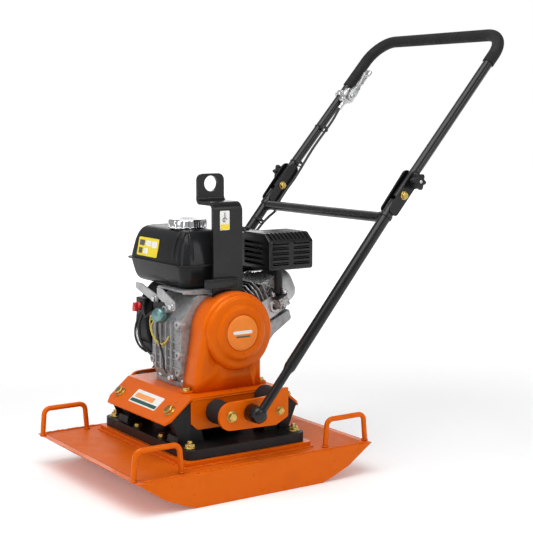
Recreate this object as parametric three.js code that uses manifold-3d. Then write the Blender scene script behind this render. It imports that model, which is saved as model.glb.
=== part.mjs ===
// Forward plate compactor: a steel base plate with an exciter bolted on it, an engine console
// on four rubber isolators, a small petrol engine and a folding handle.
// Millimetres, +Z up, origin on the ground under the middle of the plate.
// -Y is the travelling direction, +Y is the operator's side, +X is the belt side.
import * as THREE from 'three';
import { mergeVertices } from 'three/addons/utils/BufferGeometryUtils.js';
import Module from 'manifold-3d';

const wasm = await Module();
wasm.setup();

// ---- driving dimensions -------------------------------------------------------------------
const GAP = 0.3;                      // clearance between touching pieces

const PLATE_LENGTH = 560;
const PLATE_WIDTH = 460;
const DECK_TOP = 68;
const SOLE_THICKNESS = 8;
const DECK_THICKNESS = 6;
const SIDE_THICKNESS = 6;
const SOLE_FLAT = 150;                // half length of the flat sole
const PAD = { x: 190, y: 152, top: 80 };
const LIFT_HANDLE = { x: 208, near: 172, far: 277, top: 126, radius: 5.5, lean: 5, bend: 14 };

const FLANGE = { x: 183, y: 143, top: 100, corner: 18 };
const EXCITER_AXIS = { y: 10, z: 142 };
const EXCITER_BODY = { left: -112, right: 58, radius: 38, bore: 30 };

const CONSOLE = { x: 134, y: 107, top: 193, sheet: 5, flapY: 165, flapZ: 145, sideBottom: 126 };
const CONSOLE_CORNER = { inY: 16, upZ: 14, round: 3, shoulder: 4 };
const ISOLATOR = { x: 107, fromFold: 43, radius: 22, length: 38, lugHalf: 21 };
const GUSSET = { from: 6, to: 62, footY: 128, clear: 1, thickness: 3.5, sunk: 4 };
const BRACKET = { inner: 187, outer: 195 };
const PIVOT = { y: -3, z: 163, pin: 6, boss: 18 };
const BUFFER = { radius: 25, frontY: -49, frontZ: 160, rearY: 67, rearZ: 176 };

const HANDLE_X = 224;                 // middle of each handle tube
const HANDLE_ANGLE = 50.24;           // rise of the lower handle, degrees
const UPPER_ANGLE = 48.65;            // rise of the upper handle, degrees
const THIN_TUBE = { radius: 9, length: 110 };
const LOWER_TUBE_RADIUS = 12;
const UPPER_TUBE_RADIUS = 11;
const CROSSBAR_AT = 492.6;            // distances along the lower handle from its pivot
const HINGE_AT = 552;
const HINGE_PIN = 4;
const UPPER_LENGTH = 458;             // hinge to the top bar
const UPPER_BEND = 62;
const FORK = { from: -48, to: 62, half: 15, inner: 11.5, outer: 15.5 };
const KNOB = { at: 38, radius: 19, thickness: 15, stem: 9 };
const THROTTLE_AT = 283;              // along the upper handle from its hinge
const CABLE_RADIUS = 3;

const SHAFT = { y: 26, z: 308 };      // crankshaft axis
const CYLINDER_TILT = 25;
const CYLINDER = { from: 66, to: 122, left: -60, right: 44, low: -44, high: 48, bore: 4 };
const HEAD = { to: 164, left: -58, right: 46, low: -44, high: 34 };
const CRANKCASE = { left: -72, right: 50, front: -80, rear: 104, top: 385 };
const FAN_HOUSING = { back: -76, front: -150, radius: 112, wall: 3, flatTop: 84 };
const RECOIL = { front: -190, radius: 84, wall: 3 };
const ROPE = { x: -168, y: 56, z: 63, dirY: 0.6, dirZ: 0.8, hole: 3.6 };            // from the crankshaft
const TANK = { left: -196, right: 54, front: -80, rear: 55, bottom: 396, seam: 446, top: 518, corner: 22 };
const FUEL_CAP = { x: -35, y: -13, radius: 41, top: 538 };
const GUARD = { left: -50, right: 70, front: 125, rear: 239, bottom: 425, top: 504, wall: 2 };
const EXHAUST = { x: 57.5, y: 156.6, low: 375, radius: 9, outletX: 4, outletZ: 462 };
const AIR_CLEANER = { left: -150, right: -56, front: 126, rear: 226, bottom: 408, top: 497 };
const STRAP = { left: 60, right: 68, front: -12, rear: 59, bottom: 346, bend: 577 };
const EYE = { y: 22, z: 612, hole: 16.5, front: -10, rear: 54, top: 633 };
const COVER = { back: 51, face: 104, wall: 3, radius: 85, edge: 13, front: -80, rear: 84 };
const COVER_TAB = { left: 70, right: 96, length: 18, thickness: 4 };
const BELT = { left: 74.8, right: 87.2, clutch: 49.2, exciter: 30.2, depth: 8 };

// ---- helpers ------------------------------------------------------------------------------
const radians = THREE.MathUtils.degToRad;

function signedVolume(position, index) {
  const [a, b, c] = [new THREE.Vector3(), new THREE.Vector3(), new THREE.Vector3()];
  let sum = 0;
  for (let i = 0; i < index.length; i += 3) {
    a.fromArray(position, 3 * index[i]);
    b.fromArray(position, 3 * index[i + 1]);
    c.fromArray(position, 3 * index[i + 2]);
    sum += a.dot(b.cross(c));
  }
  return sum / 6;
}

// A closed solid from a three.js geometry, with its faces turned outwards.
function solid(geometry) {
  const bare = geometry.clone();
  bare.deleteAttribute('normal');
  bare.deleteAttribute('uv');
  const merged = mergeVertices(bare, 1e-3);
  const position = merged.attributes.position.array;
  const index = merged.index.array;
  const triangles = [];
  for (let i = 0; i < index.length; i += 3) {
    const [p, q, r] = [index[i], index[i + 1], index[i + 2]];
    if (p !== q && q !== r && r !== p) triangles.push(p, q, r);
  }
  if (signedVolume(position, triangles) < 0) triangles.reverse();
  const vertProperties = Float32Array.from(position);
  const triVerts = Uint32Array.from(triangles);
  return new wasm.Manifold(new wasm.Mesh({ numProp: 3, vertProperties, triVerts }));
}

function geometryOf(manifold) {
  const mesh = manifold.getMesh();
  const geometry = new THREE.BufferGeometry();
  geometry.setAttribute('position', new THREE.BufferAttribute(Float32Array.from(mesh.vertProperties), 3));
  geometry.setIndex(new THREE.BufferAttribute(Uint32Array.from(mesh.triVerts), 1));
  geometry.computeVertexNormals();
  return geometry;
}

const join = (first, ...rest) => rest.reduce((sum, next) => sum.add(next), first);
const cut = (first, ...rest) => rest.reduce((left, next) => left.subtract(next), first);

// Outline with rounded corners. Each point is [a, b] or [a, b, corner radius].
function outline(points) {
  const shape = new THREE.Shape();
  const count = points.length;
  points.forEach(([a, b, radius = 0], i) => {
    const corner = new THREE.Vector2(a, b);
    const before = new THREE.Vector2(...points[(i + count - 1) % count].slice(0, 2)).sub(corner);
    const after = new THREE.Vector2(...points[(i + 1) % count].slice(0, 2)).sub(corner);
    const half = Math.acos(before.dot(after) / before.length() / after.length()) / 2;
    const reach = Math.min(radius / Math.tan(half), 0.49 * before.length(), 0.49 * after.length());
    if (i === 0) shape.moveTo(a, b);
    if (reach <= 0) {
      if (i > 0) shape.lineTo(a, b);
      return;
    }
    const start = before.normalize().multiplyScalar(reach).add(corner);
    const end = after.normalize().multiplyScalar(reach).add(corner);
    const round = reach * Math.tan(half);
    const middle = start.clone().add(end).multiplyScalar(0.5).sub(corner).normalize();
    const centre = middle.multiplyScalar(round / Math.sin(half)).add(corner);
    const fromAngle = Math.atan2(start.y - centre.y, start.x - centre.x);
    const toAngle = Math.atan2(end.y - centre.y, end.x - centre.x);
    const clockwise = start.clone().sub(centre).cross(end.clone().sub(centre)) < 0;
    if (i === 0) shape.moveTo(start.x, start.y);
    else shape.lineTo(start.x, start.y);
    shape.absarc(centre.x, centre.y, round, fromAngle, toAngle, clockwise);
  });
  shape.closePath();
  return shape;
}

// Turns a shape drawn on a plane into the axis that it is extruded along.
const TURN = {
  x: new THREE.Matrix4().makeBasis(
    new THREE.Vector3(0, 1, 0), new THREE.Vector3(0, 0, 1), new THREE.Vector3(1, 0, 0)),
  y: new THREE.Matrix4().makeBasis(
    new THREE.Vector3(1, 0, 0), new THREE.Vector3(0, 0, 1), new THREE.Vector3(0, -1, 0)),
  z: new THREE.Matrix4(),
};

// Prism from a shape: drawn in YZ for 'x', in XZ for 'y', in XY for 'z'.
function prism(shape, along, from, to, options = {}) {
  const low = Math.min(from, to);
  const high = Math.max(from, to);
  const { edge = 0, curveSegments = 2 } = options;
  const geometry = new THREE.ExtrudeGeometry(shape, {
    depth: high - low - 2 * edge, curveSegments,
    bevelEnabled: edge > 0, bevelThickness: edge, bevelSize: edge, bevelOffset: -edge, bevelSegments: 1,
  });
  geometry.translate(0, 0, along === 'y' ? edge - high : low + edge);
  geometry.applyMatrix4(TURN[along]);
  return solid(geometry);
}

function block(x0, x1, y0, y1, z0, z1, corner = 0) {
  const points = [[x0, y0, corner], [x1, y0, corner], [x1, y1, corner], [x0, y1, corner]];
  return prism(outline(points), 'z', z0, z1);
}

// Round bar from one end to the other, with a second radius when it tapers.
function bar(start, end, radius, sides = 12, endRadius = radius) {
  const from = new THREE.Vector3(...start);
  const to = new THREE.Vector3(...end);
  const axis = to.clone().sub(from);
  const geometry = new THREE.CylinderGeometry(endRadius, radius, axis.length(), sides);
  geometry.translate(0, axis.length() / 2, 0);
  geometry.applyQuaternion(new THREE.Quaternion().setFromUnitVectors(
    new THREE.Vector3(0, 1, 0), axis.clone().normalize()));
  geometry.translate(from.x, from.y, from.z);
  return solid(geometry);
}

// Body turned about the X axis through (y, z). The profile is [x, radius] pairs.
function turned(profile, y, z, sides = 20) {
  const points = profile.map(([x, radius]) => new THREE.Vector2(radius, x));
  if (profile[0][1] > 0) points.push(points[0].clone());
  const geometry = new THREE.LatheGeometry(points, sides);
  geometry.rotateZ(-Math.PI / 2);
  geometry.translate(0, y, z);
  return solid(geometry);
}

// Centre line with round bends, whose points are only as dense as the bends need.
class BentPath extends THREE.Curve {
  constructor(corners, bend, stepsPerBend) {
    super();
    this.stops = [corners[0].clone()];
    for (let i = 1; i < corners.length - 1; i += 1) {
      const before = corners[i - 1].clone().sub(corners[i]).normalize();
      const after = corners[i + 1].clone().sub(corners[i]).normalize();
      const half = before.angleTo(after) / 2;
      const middle = before.clone().add(after).normalize();
      const centre = middle.multiplyScalar(bend / Math.sin(half)).add(corners[i]);
      const start = before.clone().multiplyScalar(bend / Math.tan(half)).add(corners[i]).sub(centre);
      const sweep = Math.PI - 2 * half;
      const normal = before.clone().cross(after).normalize();
      for (let step = 0; step <= stepsPerBend; step += 1) {
        this.stops.push(start.clone().applyAxisAngle(normal, -sweep * step / stepsPerBend).add(centre));
      }
    }
    this.stops.push(corners[corners.length - 1].clone());
  }

  getPoint(t, target = new THREE.Vector3()) {
    const place = t * (this.stops.length - 1);
    const i = Math.min(Math.floor(place), this.stops.length - 2);
    return target.copy(this.stops[i]).lerp(this.stops[i + 1], place - i);
  }

  getPointAt(t, target) {
    return this.getPoint(t, target);
  }

  getTangentAt(t) {
    const i = Math.round(t * (this.stops.length - 1));
    const back = this.stops[Math.max(i - 1, 0)];
    const ahead = this.stops[Math.min(i + 1, this.stops.length - 1)];
    const into = this.stops[i].clone().sub(back).normalize();
    const out = ahead.clone().sub(this.stops[i]).normalize();
    return into.add(out).normalize();
  }
}

function bentTube(corners, radius, bend, sides = 12, stepsPerBend = 5) {
  const path = new BentPath(corners.map((corner) => new THREE.Vector3(...corner)), bend, stepsPerBend);
  const section = new THREE.Shape().absarc(0, 0, radius, 0, 2 * Math.PI);
  return solid(new THREE.ExtrudeGeometry(section, {
    steps: path.stops.length - 1, extrudePath: path, curveSegments: sides / 2, bevelEnabled: false,
  }));
}

function cable(points, radius, steps) {
  const path = new THREE.CatmullRomCurve3(points.map((point) => new THREE.Vector3(...point)));
  const section = new THREE.Shape().absarc(0, 0, radius, 0, 2 * Math.PI);
  return solid(new THREE.ExtrudeGeometry(section, {
    steps, extrudePath: path, curveSegments: 4, bevelEnabled: false,
  }));
}

const PAINT = {
  orange: { color: 0xd8600c, roughness: 0.35, metalness: 0 },
  black: { color: 0x1a1a1c, roughness: 0.4, metalness: 0 },
  tank: { color: 0x37383a, roughness: 0.35, metalness: 0 },
  plastic: { color: 0x202022, roughness: 0.55, metalness: 0 },
  rubber: { color: 0x151515, roughness: 0.9, metalness: 0 },
  aluminium: { color: 0x9a9c9e, roughness: 0.5, metalness: 0.9 },
  steel: { color: 0x8a8c8f, roughness: 0.35, metalness: 1 },
  zinc: { color: 0xbea050, roughness: 0.35, metalness: 1 },
  chrome: { color: 0xe2e4e6, roughness: 0.1, metalness: 1 },
  red: { color: 0xbe1e23, roughness: 0.4, metalness: 0 },
};

function piece(name, body, paint) {
  const mesh = new THREE.Mesh(geometryOf(body), new THREE.MeshStandardMaterial(PAINT[paint]));
  mesh.name = name;
  return mesh;
}

function groupAt(x, y, z, tilt = 0) {
  const group = new THREE.Group();
  group.position.set(x, y, z);
  group.rotation.x = radians(tilt);
  return group;
}

// ---- base plate -----------------------------------------------------------------------------
// Sole line from the middle to the raised end, pushed inwards by a distance.
function soleHalf(inset, top) {
  const end = PLATE_LENGTH / 2;
  const rise = Math.atan2(DECK_TOP - 26, end - 218);
  const slideBack = inset / Math.sin(rise) + (DECK_TOP - top) / Math.tan(rise);
  return [
    [SOLE_FLAT, inset],
    [SOLE_FLAT + 27 - inset * 0.15, 9 + inset * 0.97],
    [218 - inset * 0.45, 26 + inset * 0.9],
    [end - slideBack, top],
  ];
}

function soleOutline(inset, top) {
  const half = soleHalf(inset, top);
  const mirrored = half.map(([y, z]) => [-y, z]).reverse();
  return outline([...mirrored.map(([y, z], i) => (i === 2 ? [y, z, 40] : [y, z])),
    ...half.map(([y, z], i) => (i === 1 ? [y, z, 40] : [y, z]))]);
}

function baseShell() {
  const halfWidth = PLATE_WIDTH / 2;
  const outer = prism(soleOutline(0, DECK_TOP), 'x', -halfWidth, halfWidth);
  const inner = prism(soleOutline(SOLE_THICKNESS, DECK_TOP + 1), 'x',
    -halfWidth + SIDE_THICKNESS, halfWidth - SIDE_THICKNESS);
  return cut(outer, inner);
}

function deckPlate() {
  const halfWidth = PLATE_WIDTH / 2 - SIDE_THICKNESS - GAP;
  const end = soleHalf(SOLE_THICKNESS, DECK_TOP)[3][0] - GAP;
  const lowEnd = soleHalf(SOLE_THICKNESS, DECK_TOP - DECK_THICKNESS)[3][0] - GAP;
  const low = DECK_TOP - DECK_THICKNESS;
  return prism(outline([[-lowEnd, low], [lowEnd, low], [end, DECK_TOP], [-end, DECK_TOP]]), 'x',
    -halfWidth, halfWidth);
}

function liftHandle(side, end) {
  const { x, near, far, top, radius, lean, bend } = LIFT_HANDLE;
  const foot = DECK_TOP + GAP;
  const arch = bentTube([[side * x, end * near, foot], [side * x, end * (near + lean), top],
    [side * x, end * (far - lean), top], [side * x, end * far, foot]], radius, bend, 10, 4);
  const below = block(side * x - 20, side * x + 20, end * (near + far) / 2 - 80, end * (near + far) / 2 + 80,
    foot - 10, foot);
  return cut(arch, below);
}

// ---- exciter ----------------------------------------------------------------------------------
// Frame of the sloping flap: fold, inner normal and the isolator's two ends on it.
function isolatorEnds() {
  const run = CONSOLE.flapY - CONSOLE.y;
  const drop = CONSOLE.top - CONSOLE.flapZ;
  const length = Math.hypot(run, drop);
  const slope = [run / length, drop / length];
  const normal = [-slope[1], -slope[0]];
  const seat = [CONSOLE.y + slope[0] * ISOLATOR.fromFold, CONSOLE.top - slope[1] * ISOLATOR.fromFold];
  const at = (distance) => [seat[0] + normal[0] * distance, seat[1] + normal[1] * distance];
  return { upper: at(CONSOLE.sheet + GAP), lower: at(CONSOLE.sheet + GAP + ISOLATOR.length), slope, at };
}

function exciterHousing() {
  const { left, right, radius, bore } = EXCITER_BODY;
  const { y, z } = EXCITER_AXIS;
  const flange = block(-FLANGE.x, FLANGE.x, -FLANGE.y, FLANGE.y, PAD.top + GAP, FLANGE.top, FLANGE.corner);
  const arch = new THREE.Shape();
  arch.moveTo(y - radius - 14, FLANGE.top - 4);
  arch.lineTo(y + radius + 14, FLANGE.top - 4);
  arch.lineTo(y + radius, z);
  arch.absarc(y, z, radius, 0, Math.PI);
  arch.closePath();
  const barrel = prism(arch, 'x', left, right, { curveSegments: 7 });
  const { lower, slope, at } = isolatorEnds();
  const lugs = [];
  for (const side of [-1, 1]) {
    for (const end of [-1, 1]) {
      const seat = at(CONSOLE.sheet + 2 * GAP + ISOLATOR.length);
      const low = [seat[0] + slope[0] * 27, seat[1] - slope[1] * 27];
      const high = [seat[0] - slope[0] * 20, seat[1] + slope[1] * 20];
      const points = [[low[0] + 4, FLANGE.top - 4], low, high, [high[0] - 12, high[1]],
        [high[0] - 26, FLANGE.top - 4]];
      const lug = outline(points.map(([a, b]) => [end * a, b]));
      lugs.push(prism(lug, 'x', side * (ISOLATOR.x - ISOLATOR.lugHalf),
        side * (ISOLATOR.x + ISOLATOR.lugHalf)));
      const edge = at(CONSOLE.sheet + GUSSET.clear);
      const along = (run) => [edge[0] + slope[0] * (run - ISOLATOR.fromFold),
        edge[1] - slope[1] * (run - ISOLATOR.fromFold)];
      const root = FLANGE.top - GUSSET.sunk;
      const gusset = outline([along(GUSSET.from), along(GUSSET.to), [GUSSET.footY, root],
        [along(GUSSET.from)[0], root]].map(([a, b]) => [end * a, b]));
      lugs.push(prism(gusset, 'x', side * (CONSOLE.x - GUSSET.thickness), side * CONSOLE.x));
    }
  }
  return cut(join(flange, barrel, ...lugs), bar([left - 5, y, z], [right + 5, y, z], bore, 18));
}

function exciterPulley() {
  const { y, z } = EXCITER_AXIS;
  const root = BELT.exciter - 1;
  const rim = root + BELT.depth + 2;
  return turned([[66, 14 + GAP], [66, 22], [69.5, rim], [73.5, rim], [74.2, root], [87.8, root], [88.5, rim],
    [92.5, rim], [92.5, 14 + GAP]], y, z, 20);
}

function eccentricShaft() {
  const { y, z } = EXCITER_AXIS;
  const weight = new THREE.Shape();
  weight.absarc(y, z, 27, Math.PI, 2 * Math.PI);
  weight.closePath();
  return join(bar([-109, y, z], [94, y, z], 14, 16), prism(weight, 'x', -72, 12, { curveSegments: 8 }));
}

// ---- console --------------------------------------------------------------------------------
function engineConsole() {
  const { x, y, top, sheet, flapY, flapZ, sideBottom } = CONSOLE;
  const folded = (inset) => {
    const edge = inset * 0.45;
    const [tipY, tipZ] = [flapY - inset * 0.64, flapZ - inset * 0.77];
    return [[-tipY, tipZ], [-y + edge, top - inset, 6], [y - edge, top - inset, 6], [tipY, tipZ]];
  };
  const section = [...folded(0), ...folded(sheet).reverse()];
  const sheetBody = prism(outline(section), 'x', -x, x);
  const { inY, upZ, round, shoulder } = CONSOLE_CORNER;
  const rearEdge = [[y - shoulder, top - sheet], [y, top - sheet - shoulder],
    [y, sideBottom + upZ, round], [y - inY, sideBottom, round]];
  const frontEdge = rearEdge.map(([a, ...rest]) => [-a, ...rest]).reverse();
  const side = outline([...rearEdge, ...frontEdge]);
  const slot = block(67, 99, -48, 74, top - sheet - 5, top + 5, 6);
  const walls = [];
  const corners = [];
  for (const hand of [-1, 1]) {
    walls.push(prism(side, 'x', hand * (x - sheet), hand * x));
    for (const end of [-1, 1]) {
      const corner = outline([[hand * (x + 1), end * (flapY + 1)], [hand * (x - 14), end * (flapY + 1)],
        [hand * (x + 1), end * (flapY - 14)]]);
      corners.push(prism(corner, 'z', flapZ - 20, flapZ + 30));
    }
  }
  return cut(join(sheetBody, ...walls), slot, ...corners);
}

function isolator(side, end) {
  const { upper, lower } = isolatorEnds();
  const place = ([y, z]) => [side * ISOLATOR.x, end * y, z];
  const middle = [(upper[0] + lower[0]) / 2, (upper[1] + lower[1]) / 2];
  return join(bar(place(upper), place(middle), ISOLATOR.radius, 28, ISOLATOR.radius - 3),
    bar(place(middle), place(lower), ISOLATOR.radius - 3, 28, ISOLATOR.radius));
}

function handleBracket(side) {
  const plate = outline([[-77, 132, 27], [58, 128.5, 8], [88, 143, 6], [88, 203], [77, 203], [34, 190, 8],
    [14, 189.5, 6], [-77, 188, 27]]);
  const hole = bar([side * (BRACKET.inner - 5), PIVOT.y, PIVOT.z],
    [side * (BRACKET.outer + 5), PIVOT.y, PIVOT.z], PIVOT.pin + 0.5, 12);
  return cut(prism(plate, 'x', side * BRACKET.inner, side * BRACKET.outer), hole);
}

// ---- handle: lower part drawn along +Y from the pivot, upper part along +Y from its hinge -----
function lowerHandle() {
  const step = THIN_TUBE.length;
  const end = HINGE_AT - 18;
  const parts = [];
  for (const side of [-1, 1]) {
    const x = side * HANDLE_X;
    parts.push(bar([side * (BRACKET.outer + GAP), 0, 0], [x, 0, 0], PIVOT.boss, 16));
    parts.push(bar([side * (BRACKET.inner - 3), 0, 0], [x, 0, 0], PIVOT.pin, 12));
    parts.push(bar([x, 0, 0], [x, step, 0], THIN_TUBE.radius, 12));
    parts.push(bar([x, step - 4, 0], [x, step + 4, 0], THIN_TUBE.radius, 24, LOWER_TUBE_RADIUS));
    parts.push(bar([x, step + 3, 0], [x, end, 0], LOWER_TUBE_RADIUS, 12));
    for (const face of [-1, 1]) {
      const fork = outline([[HINGE_AT + FORK.from, -FORK.half, 10], [HINGE_AT + FORK.to, -FORK.half, 13],
        [HINGE_AT + FORK.to, FORK.half, 13], [HINGE_AT + FORK.from, FORK.half, 10]]);
      parts.push(prism(fork, 'x', x + face * FORK.inner, x + face * FORK.outer));
    }
  }
  parts.push(bar([-HANDLE_X, CROSSBAR_AT, 0], [HANDLE_X, CROSSBAR_AT, 0], UPPER_TUBE_RADIUS, 14));
  const holes = [];
  for (const side of [-1, 1]) {
    const x = side * HANDLE_X;
    holes.push(bar([x - 20, HINGE_AT, 0], [x + 20, HINGE_AT, 0], HINGE_PIN + 0.4, 16));
    holes.push(bar([x + side * 5, HINGE_AT + KNOB.at, 0], [x + side * 20, HINGE_AT + KNOB.at, 0], 4.4, 16));
  }
  return cut(join(...parts), ...holes);
}

function upperHandle() {
  const loop = bentTube([[-HANDLE_X, -9, 0], [-HANDLE_X, UPPER_LENGTH, 0], [HANDLE_X, UPPER_LENGTH, 0],
    [HANDLE_X, -9, 0]], UPPER_TUBE_RADIUS, UPPER_BEND, 12, 6);
  const holes = [-1, 1].map((side) => bar([side * HANDLE_X - 20, 0, 0], [side * HANDLE_X + 20, 0, 0],
    HINGE_PIN + 0.4, 16));
  return cut(loop, ...holes);
}

function hingeBolt(side) {
  const x = side * HANDLE_X;
  const head = side * -1;
  return join(bar([x - 19, HINGE_AT, 0], [x + 19, HINGE_AT, 0], HINGE_PIN, 16),
    bar([x + head * 15.9, HINGE_AT, 0], [x + head * 22, HINGE_AT, 0], 7.5, 6));
}

function starKnob(side) {
  const lobes = 6;
  const star = new THREE.Shape();
  const turns = 24;
  for (let i = 0; i < turns; i += 1) {
    const angle = 2 * Math.PI * i / turns;
    const reach = KNOB.radius - 3 + 3 * Math.cos(lobes * angle);
    if (i === 0) star.moveTo(reach, 0);
    else star.lineTo(reach * Math.cos(angle), reach * Math.sin(angle));
  }
  star.closePath();
  const face = FORK.outer + KNOB.stem;
  const body = prism(star, 'x', side * face, side * (face + KNOB.thickness), { edge: 2.5 });
  const stem = bar([side * (FORK.outer + GAP), 0, 0], [side * (face + 2), 0, 0], 10, 12);
  const stud = bar([side * (FORK.inner + 0.2), 0, 0], [side * (face + 2), 0, 0], 4, 16);
  return join(body, stem, stud);
}

function throttleClamp() {
  const x = -HANDLE_X;
  const ring = bar([x, -17, 0], [x, 17, 0], 17, 16);
  const boss = block(x + 10, x + 34, -24, 24, -11, 11, 6);
  const barrel = bar([x + 22, -40, -2], [x + 22, -20, -2], 5.5, 16);
  const bore = bar([x, -30, 0], [x, 30, 0], UPPER_TUBE_RADIUS + 2 * GAP, 16);
  return cut(join(ring, boss, barrel), bore);
}

function throttleLever() {
  const start = -HANDLE_X + 34 + GAP;
  const hub = bar([start, 0, 0], [start + 9, 0, 0], 14, 14);
  const arm = prism(outline([[-10, -7], [10, -9], [74, -4, 4], [78, 6, 5], [66, 9, 4], [10, 9]]), 'x',
    start + 1.5, start + 7.5);
  const paddle = bar([start + 2, 72, 2], [start + 22, 76, 3], 4.5, 12);
  return join(hub, arm, paddle);
}

// ---- engine ---------------------------------------------------------------------------------
function crankcase() {
  const { left, right, front, rear, top } = CRANKCASE;
  const foot = CONSOLE.top + GAP;
  const profile = outline([[front + 16, foot], [rear - 4, foot], [rear, 235, 10], [150, 286, 10],
    [196, 316, 6], [186, 350, 4], [150, 366], [70, top - 12, 10], [-40, top, 14], [front, 330, 20],
    [front, 226, 14]]);
  const body = prism(profile, 'x', left, right);
  const ribs = [];
  const rib = outline([[front - 6, 224], [front + 20, 218], [front + 20, 352], [front - 6, 326]]);
  for (const x of [-52, -30, -8, 14]) {
    ribs.push(prism(rib, 'x', x, x + 5));
  }
  for (const [y, z] of [[-52, 226], [-44, 300], [-28, 350], [2, 360], [50, 360], [94, 240]]) {
    ribs.push(bar([right - 4, y, z], [STRAP.left - GAP, y, z], 9, 12));
  }
  const base = block(left - 2, right - 1, front + 6, rear + 8, foot, foot + 10, 10);
  const cavity = bar([left + 14, SHAFT.y, SHAFT.z], [right - 14, SHAFT.y, SHAFT.z], 58, 18);
  const bore = bar([left - 20, SHAFT.y, SHAFT.z], [right + 20, SHAFT.y, SHAFT.z], 13.5, 14);
  return cut(join(body, base, ...ribs), cavity, bore, cylinderRoom());
}

function placedOnTilt(manifold) {
  const geometry = geometryOf(manifold);
  geometry.rotateX(radians(CYLINDER_TILT));
  geometry.translate(0, SHAFT.y, SHAFT.z);
  return solid(geometry);
}

// Room that the finned cylinder and the head take out of the crankcase casting.
function cylinderRoom() {
  return placedOnTilt(block(-90, 90, CYLINDER.from - GAP, 260, CYLINDER.low - GAP, 160));
}

function cylinder() {
  const { from, to, left, right, low, high, bore } = CYLINDER;
  const parts = [bar([-8, from, bore], [-8, to, bore], 38, 18),
    block(left + 12, right - 12, from, to, low, bore)];
  for (let y = from + 2; y < to - 1; y += 9) {
    const fin = outline([[left, low], [right, low], [right, high - 18], [26, high], [-42, high],
      [left, high - 18]]);
    parts.push(prism(fin, 'y', y, y + 2.6));
  }
  return join(...parts);
}

function cylinderHead() {
  const { left, right, low, high } = HEAD;
  const from = CYLINDER.to + GAP;
  const parts = [block(left + 8, right - 12, from, HEAD.to, low, high, 5),
    block(left, right, from, from + 5, low, high + 4, 5)];
  for (let x = left; x < right; x += 11) {
    parts.push(block(x, x + 2.6, from, HEAD.to - 4, low + 4, high + 6));
  }
  parts.push(block(right - 14, right + 26, from + 8, from + 36, low + 20, -1, 5));
  return join(...parts);
}

function rockerCover() {
  const { to, left, right, low, high } = HEAD;
  const plan = (grow) => outline([[left + 6 - grow, low - grow, 24], [right - 10 + grow, low - grow, 24],
    [right - 10 + grow, high + grow, 24], [left + 6 - grow, high + grow, 24]]);
  const outer = join(prism(plan(0), 'y', to - 12, to + 48, { edge: 12 }),
    prism(plan(3), 'y', to + GAP, to + 4));
  return cut(outer, block(-70, 60, HEAD.to - 20, HEAD.to + GAP, -60, 70));
}

function crankshaft() {
  const straight = bar([-126, 0, 0], [100, 0, 0], 12.5, 16);
  const web = outline([[-34, -44, 12], [34, -44, 12], [16, 30, 12], [-16, 30, 12]]);
  const pin = bar([-25, 0, 24], [7, 0, 24], 11, 12);
  return join(straight, prism(web, 'x', -30, -20), prism(web, 'x', 2, 12), pin);
}

function flywheel() {
  const disc = turned([[-84, 12.5 + GAP], [-84, 78], [-100, 78], [-100, 12.5 + GAP]], 0, 0, 24);
  const vanes = [];
  for (let i = 0; i < 8; i += 1) {
    const vane = block(-119, -99, 42, 75, -1.5, 1.5);
    const geometry = geometryOf(vane);
    geometry.rotateX(2 * Math.PI * i / 8);
    vanes.push(solid(geometry));
  }
  return join(disc, ...vanes);
}

function fanHousing() {
  const { back, front, radius, wall, flatTop } = FAN_HOUSING;
  const drum = turned([[back, 0], [back, radius], [back - 8, radius + 2], [back - 14, radius],
    [front + 8, radius - 4], [front, radius - 12], [front, 0]].reverse(), 0, 0, 24);
  const room = turned([[back + 5, 0], [back + 5, radius - wall], [front + 10, radius - wall - 4],
    [front + wall, radius - wall - 12], [front + wall, 0]].reverse(), 0, 0, 24);
  const above = (z) => block(back + 40, front - 40, -200, 200, z, z + 200);
  const eye = bar([front - 10, 0, 0], [front + 10, 0, 0], RECOIL.radius - 12, 24);
  const shell = cut(drum, above(flatTop), cut(room, above(flatTop - wall)), eye);
  const switchBox = block(-134, -102, -112, -98, 22, 54, 4);
  const duct = cut(block(back - 42, back, 56, 104, 26, 94, 8), block(back - 38, back + 1, 52, 100, 30, 90, 6),
    bar([back + 2, 0, 0], [back - 60, 0, 0], radius - wall, 32));
  return join(shell, cut(switchBox, bar([back, 0, 0], [front, 0, 0], radius - wall - 2, 32)), duct);
}

function recoilCover() {
  const { front, radius, wall } = RECOIL;
  const back = FAN_HOUSING.front - GAP;
  const cup = turned([[back, radius], [back - 6, radius], [back - 8, radius - 6], [front + 10, radius - 12],
    [front, radius - 24], [front, 0], [front + wall, 0], [front + wall, radius - 25],
    [front + 11, radius - 12 - wall], [back - 8, radius - 6 - wall],
    [back, radius - 6 - wall]].reverse(), 0, 0, 24);
  const slots = [];
  for (let i = 0; i < 8; i += 1) {
    const slot = block(front - 5, front + 9, 36, 64, -6, 6);
    const geometry = geometryOf(slot);
    geometry.rotateX(2 * Math.PI * i / 8);
    slots.push(solid(geometry));
  }
  const { x, y, z, dirY, dirZ } = ROPE;
  const guide = bar([x, y - dirY * 20, z - dirZ * 20], [x, y + dirY * 12, z + dirZ * 12], 9, 12);
  const hole = bar([x, y - dirY * 60, z - dirZ * 60], [x, y + dirY * 20, z + dirZ * 20], ROPE.hole, 16);
  const inside = turned([[back + 1, 0], [back + 1, radius - 6 - wall], [front + 11, radius - 12 - wall],
    [front + wall, radius - 25], [front + wall, 0]].reverse(), 0, 0, 24);
  return cut(join(cup, cut(guide, inside)), hole, ...slots);
}

function starterGrip() {
  const { x, y, z, dirY, dirZ } = ROPE;
  const at = (distance, across = 0) => [x, y + dirY * distance - dirZ * across,
    z + dirZ * distance + dirY * across];
  const rope = bar(at(-150), at(20), 2.2, 10);
  const neck = bar(at(12.6), at(24), 8, 12);
  const grip = bar(at(28, -34), at(28, 34), 10, 12);
  return join(rope, neck, grip);
}

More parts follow.
